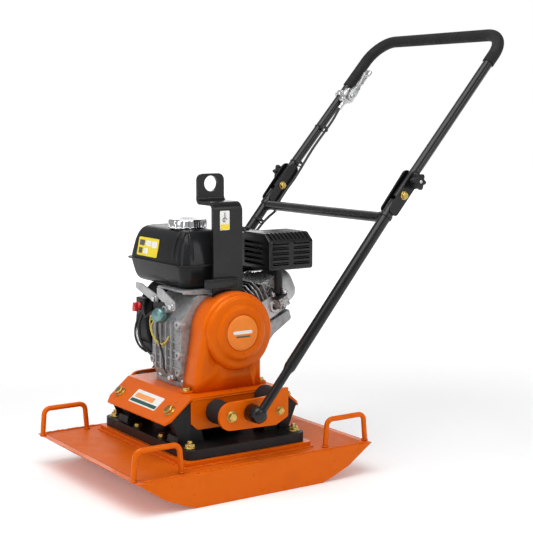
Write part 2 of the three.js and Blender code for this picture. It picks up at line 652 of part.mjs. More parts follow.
function tankBracket() {
  const high = TANK.bottom - GAP;
  const low = CRANKCASE.top + GAP;
  const plate = block(-64, 44, -72, 24, high - 4, high, 6);
  const web = outline([[-72, high - 2], [-70, high - 7], [-34, low], [24, low], [24, high - 2]]);
  return join(plate, prism(web, 'x', -64, -60), prism(web, 'x', 4, 8), prism(web, 'x', 40, 44));
}

function tankShell(inset) {
  const { left, right, front, rear, bottom, seam, top, corner } = TANK;
  const plan = (grow) => outline([[left - grow, front - grow, corner], [right + grow, front - grow, corner],
    [right + grow, rear + grow, corner], [left - grow, rear + grow, corner]]);
  const upper = prism(plan(-inset - 6), 'z', seam - 40, top - inset, { edge: 20 });
  const lower = prism(plan(-inset - 6), 'z', bottom + inset, seam + 30, { edge: 18 });
  const upperHalf = cut(upper, block(-300, 300, -300, 300, bottom - 40, seam));
  const lowerHalf = cut(lower, block(-300, 300, -300, 300, seam, top + 40));
  return { body: join(upperHalf, lowerHalf), flange: prism(plan(0), 'z', seam - 1.5, seam + 1.5) };
}

function fuelTank() {
  const outer = tankShell(0);
  const inner = tankShell(2.5);
  const { x, y } = FUEL_CAP;
  const neck = bar([x, y, TANK.top - 8], [x, y, TANK.top + 6], 24, 16);
  const filler = bar([x, y, TANK.top - 20], [x, y, TANK.top + 10], 20, 16);
  return cut(join(outer.body, outer.flange, neck), inner.body, filler);
}

function fuelCap() {
  const { x, y, radius, top } = FUEL_CAP;
  const low = TANK.top + GAP;
  const skirt = bar([x, y, low], [x, y, top - 3], radius, 20);
  const crown = bar([x, y, top - 3], [x, y, top], radius, 36, radius - 3);
  return cut(join(skirt, crown), bar([x, y, low - 5], [x, y, low + 9], 25, 16));
}

function muffler() {
  const { left, right, front, rear, bottom, top } = GUARD;
  const can = prism(outline([[left + 8, bottom + 6, 16], [right - 8, bottom + 6, 16],
    [right - 8, top - 8, 16], [left + 8, top - 8, 16]]), 'y', front + 8, rear - 8);
  const { x, y, low, radius, outletX, outletZ } = EXHAUST;
  const pipe = bar([x, y, low], [x, y, bottom + 10], radius, 14);
  const flange = placedOnTilt(block(x - 10, x + 18.5, 131, 159, -1 + GAP, 5, 7));
  const outlet = bar([outletX, rear - 10, outletZ], [outletX, rear + 14, outletZ], 16, 24, 13);
  return join(can, pipe, flange, outlet);
}

function mufflerGuard() {
  const { left, right, front, rear, bottom, top, wall } = GUARD;
  const box = (inset) => prism(outline([[left + inset, bottom + inset, 6], [right - inset, bottom + inset, 6],
    [right - inset, top - inset - 14, 6], [right - 16 - inset, top - inset, 8],
    [left + 14 + inset, top - inset, 8], [left + inset, top - inset - 14, 6]]), 'y',
    front + inset, rear - inset);
  const { x, y, outletX, outletZ } = EXHAUST;
  const cuts = [box(wall), block(left + 12, right - 30, front + 10, rear - 10, bottom - 8, bottom + 10)];
  for (let row = 0; row < 4; row += 1) {
    const z = bottom + 14 + row * 14;
    cuts.push(block(right - 6, right + 5, front + 10, front + 50, z, z + 7));
    cuts.push(block(right - 6, right + 5, front + 62, front + 102, z, z + 7));
    cuts.push(block(left + 20, right - 20, rear - 6, rear + 5, z, z + 7));
  }
  for (let i = 0; i < 5; i += 1) {
    const from = front + 12 + i * 20;
    cuts.push(block(right - 44, right - 26, from, from + 9, top - 8, top + 5));
  }
  cuts.push(block(x - 10.5, x + 10.5, y - 12, y + 12, bottom - 8, bottom + 10));
  cuts.push(bar([outletX, rear - 10, outletZ], [outletX, rear + 10, outletZ], 16.6, 16));
  return cut(box(0), ...cuts);
}

function airCleaner() {
  const { left, right, front, rear, bottom, top } = AIR_CLEANER;
  const base = block(left + 4, right - 4, front + 4, rear - 4, bottom, top - 20, 10);
  const lid = outline([[left, front, 14], [right, front, 14], [right, rear, 14], [left, rear, 14]]);
  const cover = prism(lid, 'z', top - 62, top, { edge: 9 });
  const nut = bar([(left + right) / 2, (front + rear) / 2, top - 2],
    [(left + right) / 2, (front + rear) / 2, top + 8], 9, 12);
  return join(base, cover, nut);
}

function carburettor() {
  return join(block(-104, -66, 132, 168, 356, 388, 6), bar([-92, 150, 386], [-92, 150, 408 - GAP], 14, 12),
    bar([-88, 150, 340], [-88, 150, 358], 15, 12));
}

// ---- lifting bracket and belt drive -------------------------------------------------------------
function liftingBracket() {
  const { left, right, front, rear, bottom, bend } = STRAP;
  const strap = prism(outline([[front + 4, bottom, 8], [rear - 4, bottom, 8], [rear, bottom + 50],
    [rear, bend], [front, bend], [front, bottom + 50]]), 'x', left, right);
  const shelf = prism(outline([[-4, bend - 8], [right, bend - 8, 8], [right, bend, 8], [-4, bend, 2]]), 'y',
    front, rear);
  const eye = prism(outline([[EYE.front, bend - 4], [EYE.rear, bend - 4], [EYE.rear, EYE.top, 13],
    [EYE.front, EYE.top, 13]]), 'x', -4, 4);
  const doubler = block(right - 1, 80, -36, 42, 400, 420, 4);
  return cut(join(strap, shelf, eye, doubler), bar([-10, EYE.y, EYE.z], [10, EYE.y, EYE.z], EYE.hole, 18));
}

function coverSolid(inset) {
  const { face, radius, edge, back, front, rear } = COVER;
  const profile = new THREE.Shape();
  const foot = CONSOLE.top + GAP;
  const below = foot - inset * 10;
  const tuck = Math.acos((rear - SHAFT.y - inset) / (radius - inset));
  profile.moveTo(front + inset, below);
  profile.lineTo(front + inset, foot);
  profile.lineTo(front + 4 + inset, 215);
  profile.lineTo(SHAFT.y - radius + inset, SHAFT.z);
  profile.absarc(SHAFT.y, SHAFT.z, radius - inset, Math.PI, -tuck, true);
  profile.lineTo(rear - inset, below);
  profile.closePath();
  return prism(profile, 'x', back - 40, face - inset, { edge: edge - inset, curveSegments: 10 });
}

function beltCover() {
  const { back, face, wall, front, rear } = COVER;
  const { left, right, length, thickness } = COVER_TAB;
  const { y, z } = SHAFT;
  const boss = turned([[face - 6, 0], [face - 6, 78], [face + 4, 77], [face + 8, 74.5], [face + 10, 71],
    [face + 10, 58], [face + 14, 54], [face + 15, 41], [face + 15, 0]].reverse(), y, z + 2, 28);
  const bossRoom = turned([[back - 5, 0], [back - 5, 66], [face + 6, 66], [face + 7, 55], [face + 11, 51],
    [face + 12, 38], [face + 12, 0]].reverse(), y, z + 2, 28);
  const foot = CONSOLE.top + GAP;
  const tabs = join(block(left, right, front - length, front + 6, foot, foot + thickness, 6),
    block(left, right, rear - 6, rear + length, foot, foot + thickness, 6));
  const hulk = join(coverSolid(0), boss, tabs);
  const behind = block(back - 60, back, -200, 200, 100, 500);
  const below = block(back - 60, 200, -200, 200, 100, foot);
  const strapNotch = block(back - 5, STRAP.right + 2, STRAP.front - 4, STRAP.rear + 4, z + 30, z + 120);
  return cut(hulk, coverSolid(wall), bossRoom, behind, below, strapNotch);
}

function clutchDrum() {
  const root = BELT.clutch - 1;
  const rim = root + BELT.depth + 2;
  return turned([[70.5, 12.5 + GAP], [70.5, 24], [71, rim], [73.5, rim], [74.2, root], [87.8, root],
    [88.5, rim], [91, rim], [92, 57], [110, 57], [110, 40], [104, 12.5 + GAP]], SHAFT.y, SHAFT.z, 24);
}

// Closed belt line round two pulleys, as a shape whose arcs meet the straight runs.
function beltLoop(clutch, exciter) {
  const run = SHAFT.y - EXCITER_AXIS.y;
  const rise = SHAFT.z - EXCITER_AXIS.z;
  const lean = Math.atan2(rise, run);
  const open = Math.acos((clutch - exciter) / Math.hypot(run, rise));
  const shape = new THREE.Shape();
  shape.absarc(SHAFT.y, SHAFT.z, clutch, lean - (Math.PI - open), lean + (Math.PI - open));
  shape.absarc(EXCITER_AXIS.y, EXCITER_AXIS.z, exciter, lean + (Math.PI - open), lean + Math.PI + open);
  shape.closePath();
  return shape;
}

function vBelt() {
  const { left, right, clutch, exciter, depth } = BELT;
  const outer = prism(beltLoop(clutch + depth, exciter + depth), 'x', left, right, { curveSegments: 9 });
  const inner = prism(beltLoop(clutch, exciter), 'x', left - 5, right + 5, { curveSegments: 9 });
  return cut(outer, inner);
}

// ---- assembly -------------------------------------------------------------------------------
const compactor = new THREE.Group();
const SIDES = [[-1, 'left'], [1, 'right']];
const ENDS = [[-1, 'front'], [1, 'rear']];

compactor.add(
  piece('base_shell', baseShell(), 'orange'),
  piece('deck_plate', deckPlate(), 'orange'),
  piece('mounting_pad', block(-PAD.x, PAD.x, -PAD.y, PAD.y, DECK_TOP + GAP, PAD.top, 10), 'orange'),
  piece('exciter_housing', exciterHousing(), 'black'),
  piece('eccentric_shaft', eccentricShaft(), 'steel'),
  piece('exciter_pulley', exciterPulley(), 'steel'),
  piece('engine_console', engineConsole(), 'orange'),
  piece('crankcase', crankcase(), 'aluminium'),
  piece('tank_bracket', tankBracket(), 'aluminium'),
  piece('fuel_tank', fuelTank(), 'tank'),
  piece('fuel_cap', fuelCap(), 'chrome'),
  piece('muffler', muffler(), 'steel'),
  piece('muffler_guard', mufflerGuard(), 'black'),
  piece('air_cleaner', airCleaner(), 'plastic'),
  piece('carburettor', carburettor(), 'aluminium'),
  piece('lifting_bracket', liftingBracket(), 'black'),
  piece('belt_cover', beltCover(), 'orange'),
  piece('clutch_drum', clutchDrum(), 'steel'),
  piece('v_belt', vBelt(), 'rubber'),
);

for (const [side, hand] of SIDES) {
  for (const [end, place] of ENDS) {
    compactor.add(
      piece(`lift_handle_${place}_${hand}`, liftHandle(side, end), 'orange'),
      piece(`isolator_${place}_${hand}`, isolator(side, end), 'rubber'),
    );
    const [y, z] = end < 0 ? [BUFFER.frontY, BUFFER.frontZ] : [BUFFER.rearY, BUFFER.rearZ];
    compactor.add(piece(`bracket_buffer_${place}_${hand}`, bar([side * (CONSOLE.x + GAP), y, z],
      [side * (BRACKET.inner - GAP), y, z], BUFFER.radius, 18), 'rubber'));
  }
  compactor.add(
    piece(`handle_bracket_${hand}`, handleBracket(side), 'orange'),
  );
}

// Exciter ends: a ball bearing in the bore and a bolted cover outside it on each side.
const { y: exciterY, z: exciterZ } = EXCITER_AXIS;
for (const [hand, from, to] of [['left', -107, -87], ['right', 31, 51]]) {
  const race = EXCITER_BODY.bore - 3 * GAP;
  compactor.add(piece(`exciter_bearing_${hand}`, turned([[from, 14 + GAP], [from, race], [to, race],
    [to, 14 + GAP]], exciterY, exciterZ, 20), 'steel'));
}
compactor.add(
  piece('exciter_end_cover_left', bar([EXCITER_BODY.left - 7, exciterY, exciterZ],
    [EXCITER_BODY.left - GAP, exciterY, exciterZ], 37, 20), 'black'),
  piece('exciter_end_cover_right', turned([[EXCITER_BODY.right + GAP, 16], [EXCITER_BODY.right + GAP, 37],
    [EXCITER_BODY.right + 6, 37], [EXCITER_BODY.right + 6, 16]], exciterY, exciterZ, 20), 'black'),
);

const shaftGroup = groupAt(0, SHAFT.y, SHAFT.z);
shaftGroup.add(
  piece('crankshaft', crankshaft(), 'steel'),
  piece('flywheel', flywheel(), 'aluminium'),
  piece('fan_housing', fanHousing(), 'plastic'),
  piece('recoil_cover', recoilCover(), 'plastic'),
  piece('starter_grip', starterGrip(), 'rubber'),
);
const switchKnob = join(bar([0, 0, 0], [0, -7, 0], 9, 12), block(-4, 4, -15, -6, -9, 9, 2));
const engineSwitch = piece('engine_switch', switchKnob, 'red');
engineSwitch.position.set(-118, -112 - GAP, 38);
shaftGroup.add(engineSwitch);
const cylinderGroup = groupAt(0, 0, 0, CYLINDER_TILT);
cylinderGroup.add(
  piece('cylinder', cylinder(), 'aluminium'),
  piece('cylinder_head', cylinderHead(), 'aluminium'),
  piece('rocker_cover', rockerCover(), 'aluminium'),
);
shaftGroup.add(cylinderGroup);
compactor.add(shaftGroup);

const lowerGroup = groupAt(0, PIVOT.y, PIVOT.z, HANDLE_ANGLE);
const upperGroup = groupAt(0, HINGE_AT, 0, UPPER_ANGLE - HANDLE_ANGLE);
lowerGroup.add(piece('lower_handle', lowerHandle(), 'black'));
for (const [side, hand] of SIDES) {
  lowerGroup.add(piece(`hinge_bolt_${hand}`, hingeBolt(side), 'zinc'));
  const knob = piece(`star_knob_${hand}`, starKnob(side), 'plastic');
  knob.position.set(side * HANDLE_X, HINGE_AT + KNOB.at, 0);
  lowerGroup.add(knob);
}
upperGroup.add(piece('upper_handle', upperHandle(), 'black'));
const clamp = piece('throttle_clamp', throttleClamp(), 'aluminium');
const lever = piece('throttle_lever', throttleLever(), 'aluminium');
clamp.position.y = THROTTLE_AT;
lever.position.y = THROTTLE_AT;
upperGroup.add(clamp, lever);
const cableX = -HANDLE_X + 22;
upperGroup.add(piece('throttle_cable_upper', cable([[cableX, THROTTLE_AT - 40 - GAP, -2],
  [cableX, THROTTLE_AT - 80, -6], [cableX, 120, -6], [cableX, 40, -12], [cableX, 0.5, -12]],
CABLE_RADIUS, 12), 'rubber'));
lowerGroup.add(piece('throttle_cable_lower', cable([
  [cableX, HINGE_AT - 0.5, -12], [cableX, HINGE_AT - 40, -13],
  [cableX, CROSSBAR_AT, -19], [cableX, CROSSBAR_AT - 50, -8], [cableX, 320, -2], [cableX, 180, -2],
  [cableX, 140, -2], [cableX, 106, -2]], CABLE_RADIUS, 22), 'rubber'));
lowerGroup.add(upperGroup);
compactor.add(lowerGroup);
compactor.add(piece('throttle_cable_engine', cable([
  [cableX, 65.5, 242.2], [-201.5, 60.5, 232], [-200, 61.5, 221],
  [-196, 71, 213], [-188, 86, 212], [-168, 116, 226], [-145, 143, 262], [-120, 152, 315], [-107.5, 152, 362]],
CABLE_RADIUS, 20), 'rubber'));

export default compactor;
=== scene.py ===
"""Forward plate compactor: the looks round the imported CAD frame.

Lengths in this file are millimetres in the frame of the CAD part: the origin is on the ground under the
middle of the plate, -Y is the travelling direction, +X the belt side, +Z up. piece() turns them to metres.
"""
import math

import bmesh
import bpy
from mathutils import Matrix, Vector, noise


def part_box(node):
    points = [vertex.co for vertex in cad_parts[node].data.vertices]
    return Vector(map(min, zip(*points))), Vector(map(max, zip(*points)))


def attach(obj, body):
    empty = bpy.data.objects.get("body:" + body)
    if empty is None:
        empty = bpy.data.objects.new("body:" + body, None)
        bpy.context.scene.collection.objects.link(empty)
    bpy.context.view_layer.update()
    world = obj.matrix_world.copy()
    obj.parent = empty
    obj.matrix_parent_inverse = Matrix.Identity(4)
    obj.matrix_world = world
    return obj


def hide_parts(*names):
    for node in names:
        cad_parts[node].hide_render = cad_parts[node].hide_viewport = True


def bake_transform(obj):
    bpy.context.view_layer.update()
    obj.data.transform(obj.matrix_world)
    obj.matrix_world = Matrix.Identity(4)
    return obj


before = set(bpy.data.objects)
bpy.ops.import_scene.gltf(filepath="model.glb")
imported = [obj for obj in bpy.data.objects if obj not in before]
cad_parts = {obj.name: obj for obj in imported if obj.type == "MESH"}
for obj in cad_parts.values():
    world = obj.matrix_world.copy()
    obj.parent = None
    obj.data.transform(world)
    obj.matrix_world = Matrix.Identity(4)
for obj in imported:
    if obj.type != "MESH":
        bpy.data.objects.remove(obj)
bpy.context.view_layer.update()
MM = 0.001


def corners(node):
    """Lowest and highest corner of a CAD node, in millimetres."""
    low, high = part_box(node)
    return low / MM, high / MM


# ---- driving dimensions --------------------------------------------------------------------
PLATE_LOW, PLATE_HIGH = corners("base_shell")
_, PAD_HIGH = corners("mounting_pad")
DECK_TOP = PLATE_HIGH.z
SOLE_FLAT = 150
LIFT_BAR = {"x": 208, "near": 172, "far": 277, "lean": 5, "radius": 5.5, "bend": 14}
EXCITER_AXIS = (10, 142)
FLANGE_TOP = 100
FLANGE_BOLT = (160, 125)
CONSOLE = {"x": 134, "y": 107, "top": 193, "sheet": 5, "flap_y": 165, "flap_z": 145, "side_bottom": 126}
ISOLATOR = {"x": 107, "from_fold": 43, "radius": 22, "length": 38}
BRACKET = (187, 195)
PIVOT = (-3, 163)
BUFFERS = {"front": (-49, 160), "rear": (67, 176)}
BUFFER_RADIUS = 25
HANDLE_X = 224
HANDLE_ANGLE = 50.24
UPPER_ANGLE = 48.65
THIN_END = 110
CROSSBAR_AT = 492.6
HINGE_AT = 552
UPPER_LENGTH = 458
KNOB_AT = 38
THROTTLE_AT = 283
SHAFT = (26, 308)
FUEL_CAP = (-35, -13)
TANK_SEAM = 446
CYLINDER_TILT = 25
COVER = {"radius": 85, "front": -80, "rear": 84, "back": 51, "face": 104, "hole": 66}
STRAP_FACE = 68
CRANKCASE_FRONT = -80

LOWER = Matrix.Translation((0, *PIVOT)) @ Matrix.Rotation(math.radians(HANDLE_ANGLE), 4, "X")
UPPER = (LOWER @ Matrix.Translation((0, HINGE_AT, 0))
         @ Matrix.Rotation(math.radians(UPPER_ANGLE - HANDLE_ANGLE), 4, "X"))
ENGINE = Matrix.Translation((0, *SHAFT))
TILTED = ENGINE @ Matrix.Rotation(math.radians(CYLINDER_TILT), 4, "X")

SIDES = ((-1, "left"), (1, "right"))
ENDS = ((-1, "front"), (1, "rear"))


# ---- shapes --------------------------------------------------------------------------------
def rounded(points, steps=6):
    """Closed outline through (a, b) or (a, b, radius) points, with round corners."""
    line = []
    count = len(points)
    for i, point in enumerate(points):
        corner = Vector(point[:2])
        radius = point[2] if len(point) > 2 else 0
        if radius <= 0:
            line.append(corner)
            continue
        before = Vector(points[i - 1][:2]) - corner
        after = Vector(points[(i + 1) % count][:2]) - corner
        half = before.angle(after) / 2
        reach = min(radius / math.tan(half), 0.49 * before.length, 0.49 * after.length)
        radius = reach * math.tan(half)
        towards = (before.normalized() + after.normalized()).normalized()
        centre = corner + towards * (radius / math.sin(half))
        arm = corner + before.normalized() * reach - centre
        sweep_angle = (math.pi - 2 * half) * (-1 if before.cross(after) > 0 else 1)
        for step in range(steps + 1):
            line.append(centre + Matrix.Rotation(sweep_angle * step / steps, 2) @ arm)
    return line


def circle(a, b, radius, sides=32):
    turn = 2 * math.pi / sides
    return [Vector((a + radius * math.cos(i * turn), b + radius * math.sin(i * turn))) for i in range(sides)]


def rectangle(a0, b0, a1, b1, radius=0, steps=6):
    return rounded([(a0, b0, radius), (a1, b0, radius), (a1, b1, radius), (a0, b1, radius)], steps)


def lifted(point, along, height):
    a, b = point
    return {"x": (height, a, b), "y": (a, height, b), "z": (a, b, height)}[along]


def prism(shape, along, low, high, edge=0, segments=3):
    """Solid between two planes. The shape is drawn in YZ for x, in XZ for y and in XY for z."""
    bm = bmesh.new()
    rings = [[bm.verts.new(lifted(p, along, h)) for p in shape] for h in (low, high)]
    bm.faces.new(rings[0])
    bm.faces.new(rings[1])
    rims = [face.edges[:] for face in bm.faces]
    count = len(shape)
    for i in range(count):
        j = (i + 1) % count
        bm.faces.new((rings[0][i], rings[0][j], rings[1][j], rings[1][i]))
    bmesh.ops.recalc_face_normals(bm, faces=bm.faces[:])
    if edge:
        bmesh.ops.bevel(bm, geom=[e for rim in rims for e in rim], offset=edge, segments=segments,
                        profile=0.5, affect="EDGES", clamp_overlap=True)
    return bm


def block(x0, x1, y0, y1, z0, z1, corner=0, edge=0):
    return prism(rectangle(x0, y0, x1, y1, corner), "z", z0, z1, edge)


def across(direction):
    """Two directions at right angles to a direction and to each other."""
    helper = Vector((0, 0, 1)) if abs(direction.z) < 0.9 else Vector((1, 0, 0))
    first = direction.cross(helper).normalized()
    return first, direction.cross(first).normalized()


def turned(profile, origin, direction, sides=40, phase=0.0, ring=False):
    """Body turned about a line. The profile is (distance along it, radius) pairs, a loop for a ring."""
    bm = bmesh.new()
    direction = Vector(direction).normalized()
    origin = Vector(origin)
    first, second = across(direction)
    rings = []
    for along, radius in profile:
        centre = origin + direction * along
        if radius < 1e-6:
            rings.append([bm.verts.new(centre)])
            continue
        circle_verts = []
        for i in range(sides):
            angle = phase + 2 * math.pi * i / sides
            arm = first * math.cos(angle) + second * math.sin(angle)
            circle_verts.append(bm.verts.new(centre + arm * radius))
        rings.append(circle_verts)
    for lower, upper in zip(rings, rings[1:] + rings[:ring]):
        for i in range(sides):
            j = (i + 1) % sides
            quad = [lower[i % len(lower)], lower[j % len(lower)],
                    upper[j % len(upper)], upper[i % len(upper)]]
            unique = list(dict.fromkeys(quad))
            if len(unique) > 2:
                bm.faces.new(unique)
    for end in () if ring else (rings[0], rings[-1]):
        if len(end) > 1:
            bm.faces.new(end)
    bmesh.ops.recalc_face_normals(bm, faces=bm.faces[:])
    return bm


def bar(start, end, radius, sides=32, edge=0.0):
    """Round bar with softened rims."""
    start, end = Vector(start), Vector(end)
    length = (end - start).length
    profile = [(0, radius - edge), (edge, radius), (length - edge, radius), (length, radius - edge)]
    if edge <= 0:
        profile = [(0, radius), (length, radius)]
    return turned(profile, start, end - start, sides)


def bent(points, bend, steps=8):
    """Line through the points with its corners bent round."""
    points = [Vector(p) for p in points]
    line = [points[0]]
    for before, corner, after in zip(points, points[1:], points[2:]):
        back = (before - corner).normalized()
        ahead = (after - corner).normalized()
        half = back.angle(ahead) / 2
        centre = corner + (back + ahead).normalized() * (bend / math.sin(half))
        arm = corner + back * (bend / math.tan(half)) - centre
        axis = back.cross(ahead)
        for step in range(steps + 1):
            turn = Matrix.Rotation(-(math.pi - 2 * half) * step / steps, 3, axis)
            line.append(centre + turn @ arm)
    line.append(points[-1])
    return line


def eased(points, steps=6):
    """Smooth line through the points (Catmull-Rom)."""
    points = [Vector(p) for p in points]
    ends = [points[0] * 2 - points[1], *points, points[-1] * 2 - points[-2]]
    line = []
    for a, b, c, d in zip(ends, ends[1:], ends[2:], ends[3:]):
        for step in range(steps):
            t = step / steps
            line.append(0.5 * ((2 * b) + (c - a) * t + (2 * a - 5 * b + 4 * c - d) * t ** 2
                               + (3 * b - a - 3 * c + d) * t ** 3))
    line.append(points[-1])
    return line


def swept(line, radius, sides=20, squash=1.0):
    """Tube along a line. The radius is a number or a function of the share of the line."""
    bm = bmesh.new()
    line = [Vector(p) for p in line]
    tangents = []
    for i in range(len(line)):
        back, ahead = line[max(i - 1, 0)], line[min(i + 1, len(line) - 1)]
        tangents.append((ahead - back).normalized())
    side = across(tangents[0])[0]
    rings = []
    for i, (centre, tangent) in enumerate(zip(line, tangents)):
        if i:
            side = tangents[i - 1].rotation_difference(tangent) @ side
        other = tangent.cross(side).normalized()
        size = radius(i / (len(line) - 1)) if callable(radius) else radius
        ring = []
        for k in range(sides):
            angle = 2 * math.pi * k / sides
            ring.append(bm.verts.new(centre + side * (size * math.cos(angle))
                                     + other * (size * squash * math.sin(angle))))
        rings.append(ring)
    for lower, upper in zip(rings, rings[1:]):
        for k in range(sides):
            j = (k + 1) % sides
            bm.faces.new((lower[k], lower[j], upper[j], upper[k]))
    bm.faces.new(rings[0])
    bm.faces.new(rings[-1])
    bmesh.ops.recalc_face_normals(bm, faces=bm.faces[:])
    return bm


def loft(levels, along="z"):
    """Closed shell through outlines at given heights. All outlines have the same number of points."""
    bm = bmesh.new()
    rings = [[bm.verts.new(lifted(p, along, height)) for p in shape] for height, shape in levels]
    count = len(rings[0])
    for lower, upper in zip(rings, rings[1:]):
        for i in range(count):
            j = (i + 1) % count
            bm.faces.new((lower[i], lower[j], upper[j], upper[i]))
    bm.faces.new(rings[0])
    bm.faces.new(rings[-1])
    bmesh.ops.recalc_face_normals(bm, faces=bm.faces[:])
    return bm


def merged(*parts):
    """All the parts in one bmesh."""
    whole = bmesh.new()
    for part in parts:
        mesh = bpy.data.meshes.new("part")
        part.to_mesh(mesh)
        whole.from_mesh(mesh)
        bpy.data.meshes.remove(mesh)
        part.free()
    return whole


def moved(bm, matrix):
    bm.transform(matrix)
    return bm


# ---- pieces --------------------------------------------------------------------------------
LOOKS = {}


def raw_object(name, bm):
    bm.transform(Matrix.Scale(MM, 4))
    bmesh.ops.remove_doubles(bm, verts=bm.verts[:], dist=1e-7)
    mesh = bpy.data.meshes.new(name)
    bm.to_mesh(mesh)
    bm.free()
    obj = bpy.data.objects.new(name, mesh)
    bpy.context.scene.collection.objects.link(obj)
    return obj


def carve(obj, *cutters, operation="DIFFERENCE"):
    """Cuts the cutters out of the object, or keeps only what lies in them, and applies the result."""
    tools = [raw_object("cutter", cutter) for cutter in cutters]
    for tool in tools:
        modifier = obj.modifiers.new("carve", "BOOLEAN")
        modifier.operation = operation
        modifier.solver = "EXACT"
        modifier.object = tool
    graph = bpy.context.evaluated_depsgraph_get()
    mesh = bpy.data.meshes.new_from_object(obj.evaluated_get(graph))
    obj.modifiers.clear()
    old = obj.data
    obj.data = mesh
    bpy.data.meshes.remove(old)
    for tool in tools:
        bpy.data.objects.remove(tool)
    return obj


def round_edges(obj, width):
    edges = obj.modifiers.new("soft edges", "BEVEL")
    edges.width = width * MM
    edges.segments = 2
    edges.limit_method = "ANGLE"
    edges.angle_limit = math.radians(32)
    edges.harden_normals = True


def soften(obj, width):
    """Rounds the sharp edges and keeps flat faces flat in the shading."""
    round_edges(obj, width)
    for polygon in obj.data.polygons:
        polygon.use_smooth = True
    return obj


def smooth(obj, angle=34):
    for polygon in obj.data.polygons:
        polygon.use_smooth = True
    obj.data.set_sharp_from_angle(angle=math.radians(angle))
    return obj


def settle(obj, body, look, stands_for=()):
    """Gives the object its material and body."""
    material, slot = LOOKS[look]
    obj.data.name = obj.name
    obj.data.materials.clear()
    obj.data.materials.append(material)
    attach(obj, body)
    if stands_for:
        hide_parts(*stands_for)
    return obj


def piece(name, bm, look, stands_for=(), cut=(), soft=0.0, angle=34, body="machine"):
    """A finished piece: built, cut, softened or smoothed, and set on its body."""
    obj = raw_object(name, bm)
    if cut:
        carve(obj, *cut)
    if soft:
        soften(obj, soft)
    else:
        smooth(obj, angle)
    return settle(obj, body, look, stands_for)


def keep_node(name, look, soft=0.4):
    """Leaves a CAD node as it is, with a finished material and softened edges."""
    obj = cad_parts[name]
    material, slot = LOOKS[look]
    obj.data.materials.clear()
    obj.data.materials.append(material)
    weld = obj.modifiers.new("weld", "WELD")
    weld.merge_threshold = 0.01 * MM
    flat = obj.modifiers.new("flat faces", "DECIMATE")
    flat.decimate_type = "DISSOLVE"
    flat.angle_limit = math.radians(0.5)
    round_edges(obj, soft)


def hex_bolt(at, direction, size=12.0, washer=True, stud=0.0):
    """Hexagon head with a chamfered top on a washer, seated at a point and facing a direction.
    The size is the thread's diameter. A stud shows past the nut where it is above 0."""
    radius = size * 0.98
    seat = size * 0.16 if washer else 0
    top = seat + size * 0.66
    parts = [turned([(seat, radius * 0.94), (seat + 0.4, radius), (top - size * 0.12, radius),
                     (top, radius * 0.86), (top, 0)], at, direction, 6)]
    if washer:
        parts.append(turned([(0, size * 1.16), (seat * 0.7, size * 1.18), (seat, size * 1.12), (seat, 0)],
                            at, direction, 36))
        parts.append(turned([(seat - 0.1, size * 1.02), (seat + size * 0.1, size * 0.96),
                             (seat + size * 0.12, 0)], at, direction, 30))
    if stud:
        ridges = []
        turns = int(stud / 1.2)
        for i in range(turns):
            ridges += [(top - 1 + i * 1.2, size * 0.47), (top - 0.4 + i * 1.2, size * 0.5)]
        ridges += [(top + stud, size * 0.42), (top + stud, 0)]
        parts.append(turned(ridges, at, direction, 24))
    return merged(*parts)


def add_bolt(name, at, direction, size, look="zinc", soft=0.3, place=None, **shape):
    """A bolt or nut of its own on the machine. place moves it from a tilted frame."""
    bm = hex_bolt(at, direction, size, **shape)
    if place is not None:
        moved(bm, place)
    return piece(name, bm, look, soft=soft)


# ---- materials -----------------------------------------------------------------------------
def add(tree, kind, inputs=(), **settings):
    made = tree.nodes.new(kind)
    for key, value in settings.items():
        setattr(made, key, value)
    for key, value in dict(inputs).items():
        if isinstance(value, bpy.types.NodeSocket):
            tree.links.new(value, made.inputs[key])
        else:
            made.inputs[key].default_value = value
    return made


def rgb(red, green, blue):
    """Linear colour from 0..255 display values."""
    def linear(value):
        share = value / 255
        return share / 12.92 if share <= 0.04045 else ((share + 0.055) / 1.055) ** 2.4
    return (linear(red), linear(green), linear(blue), 1.0)


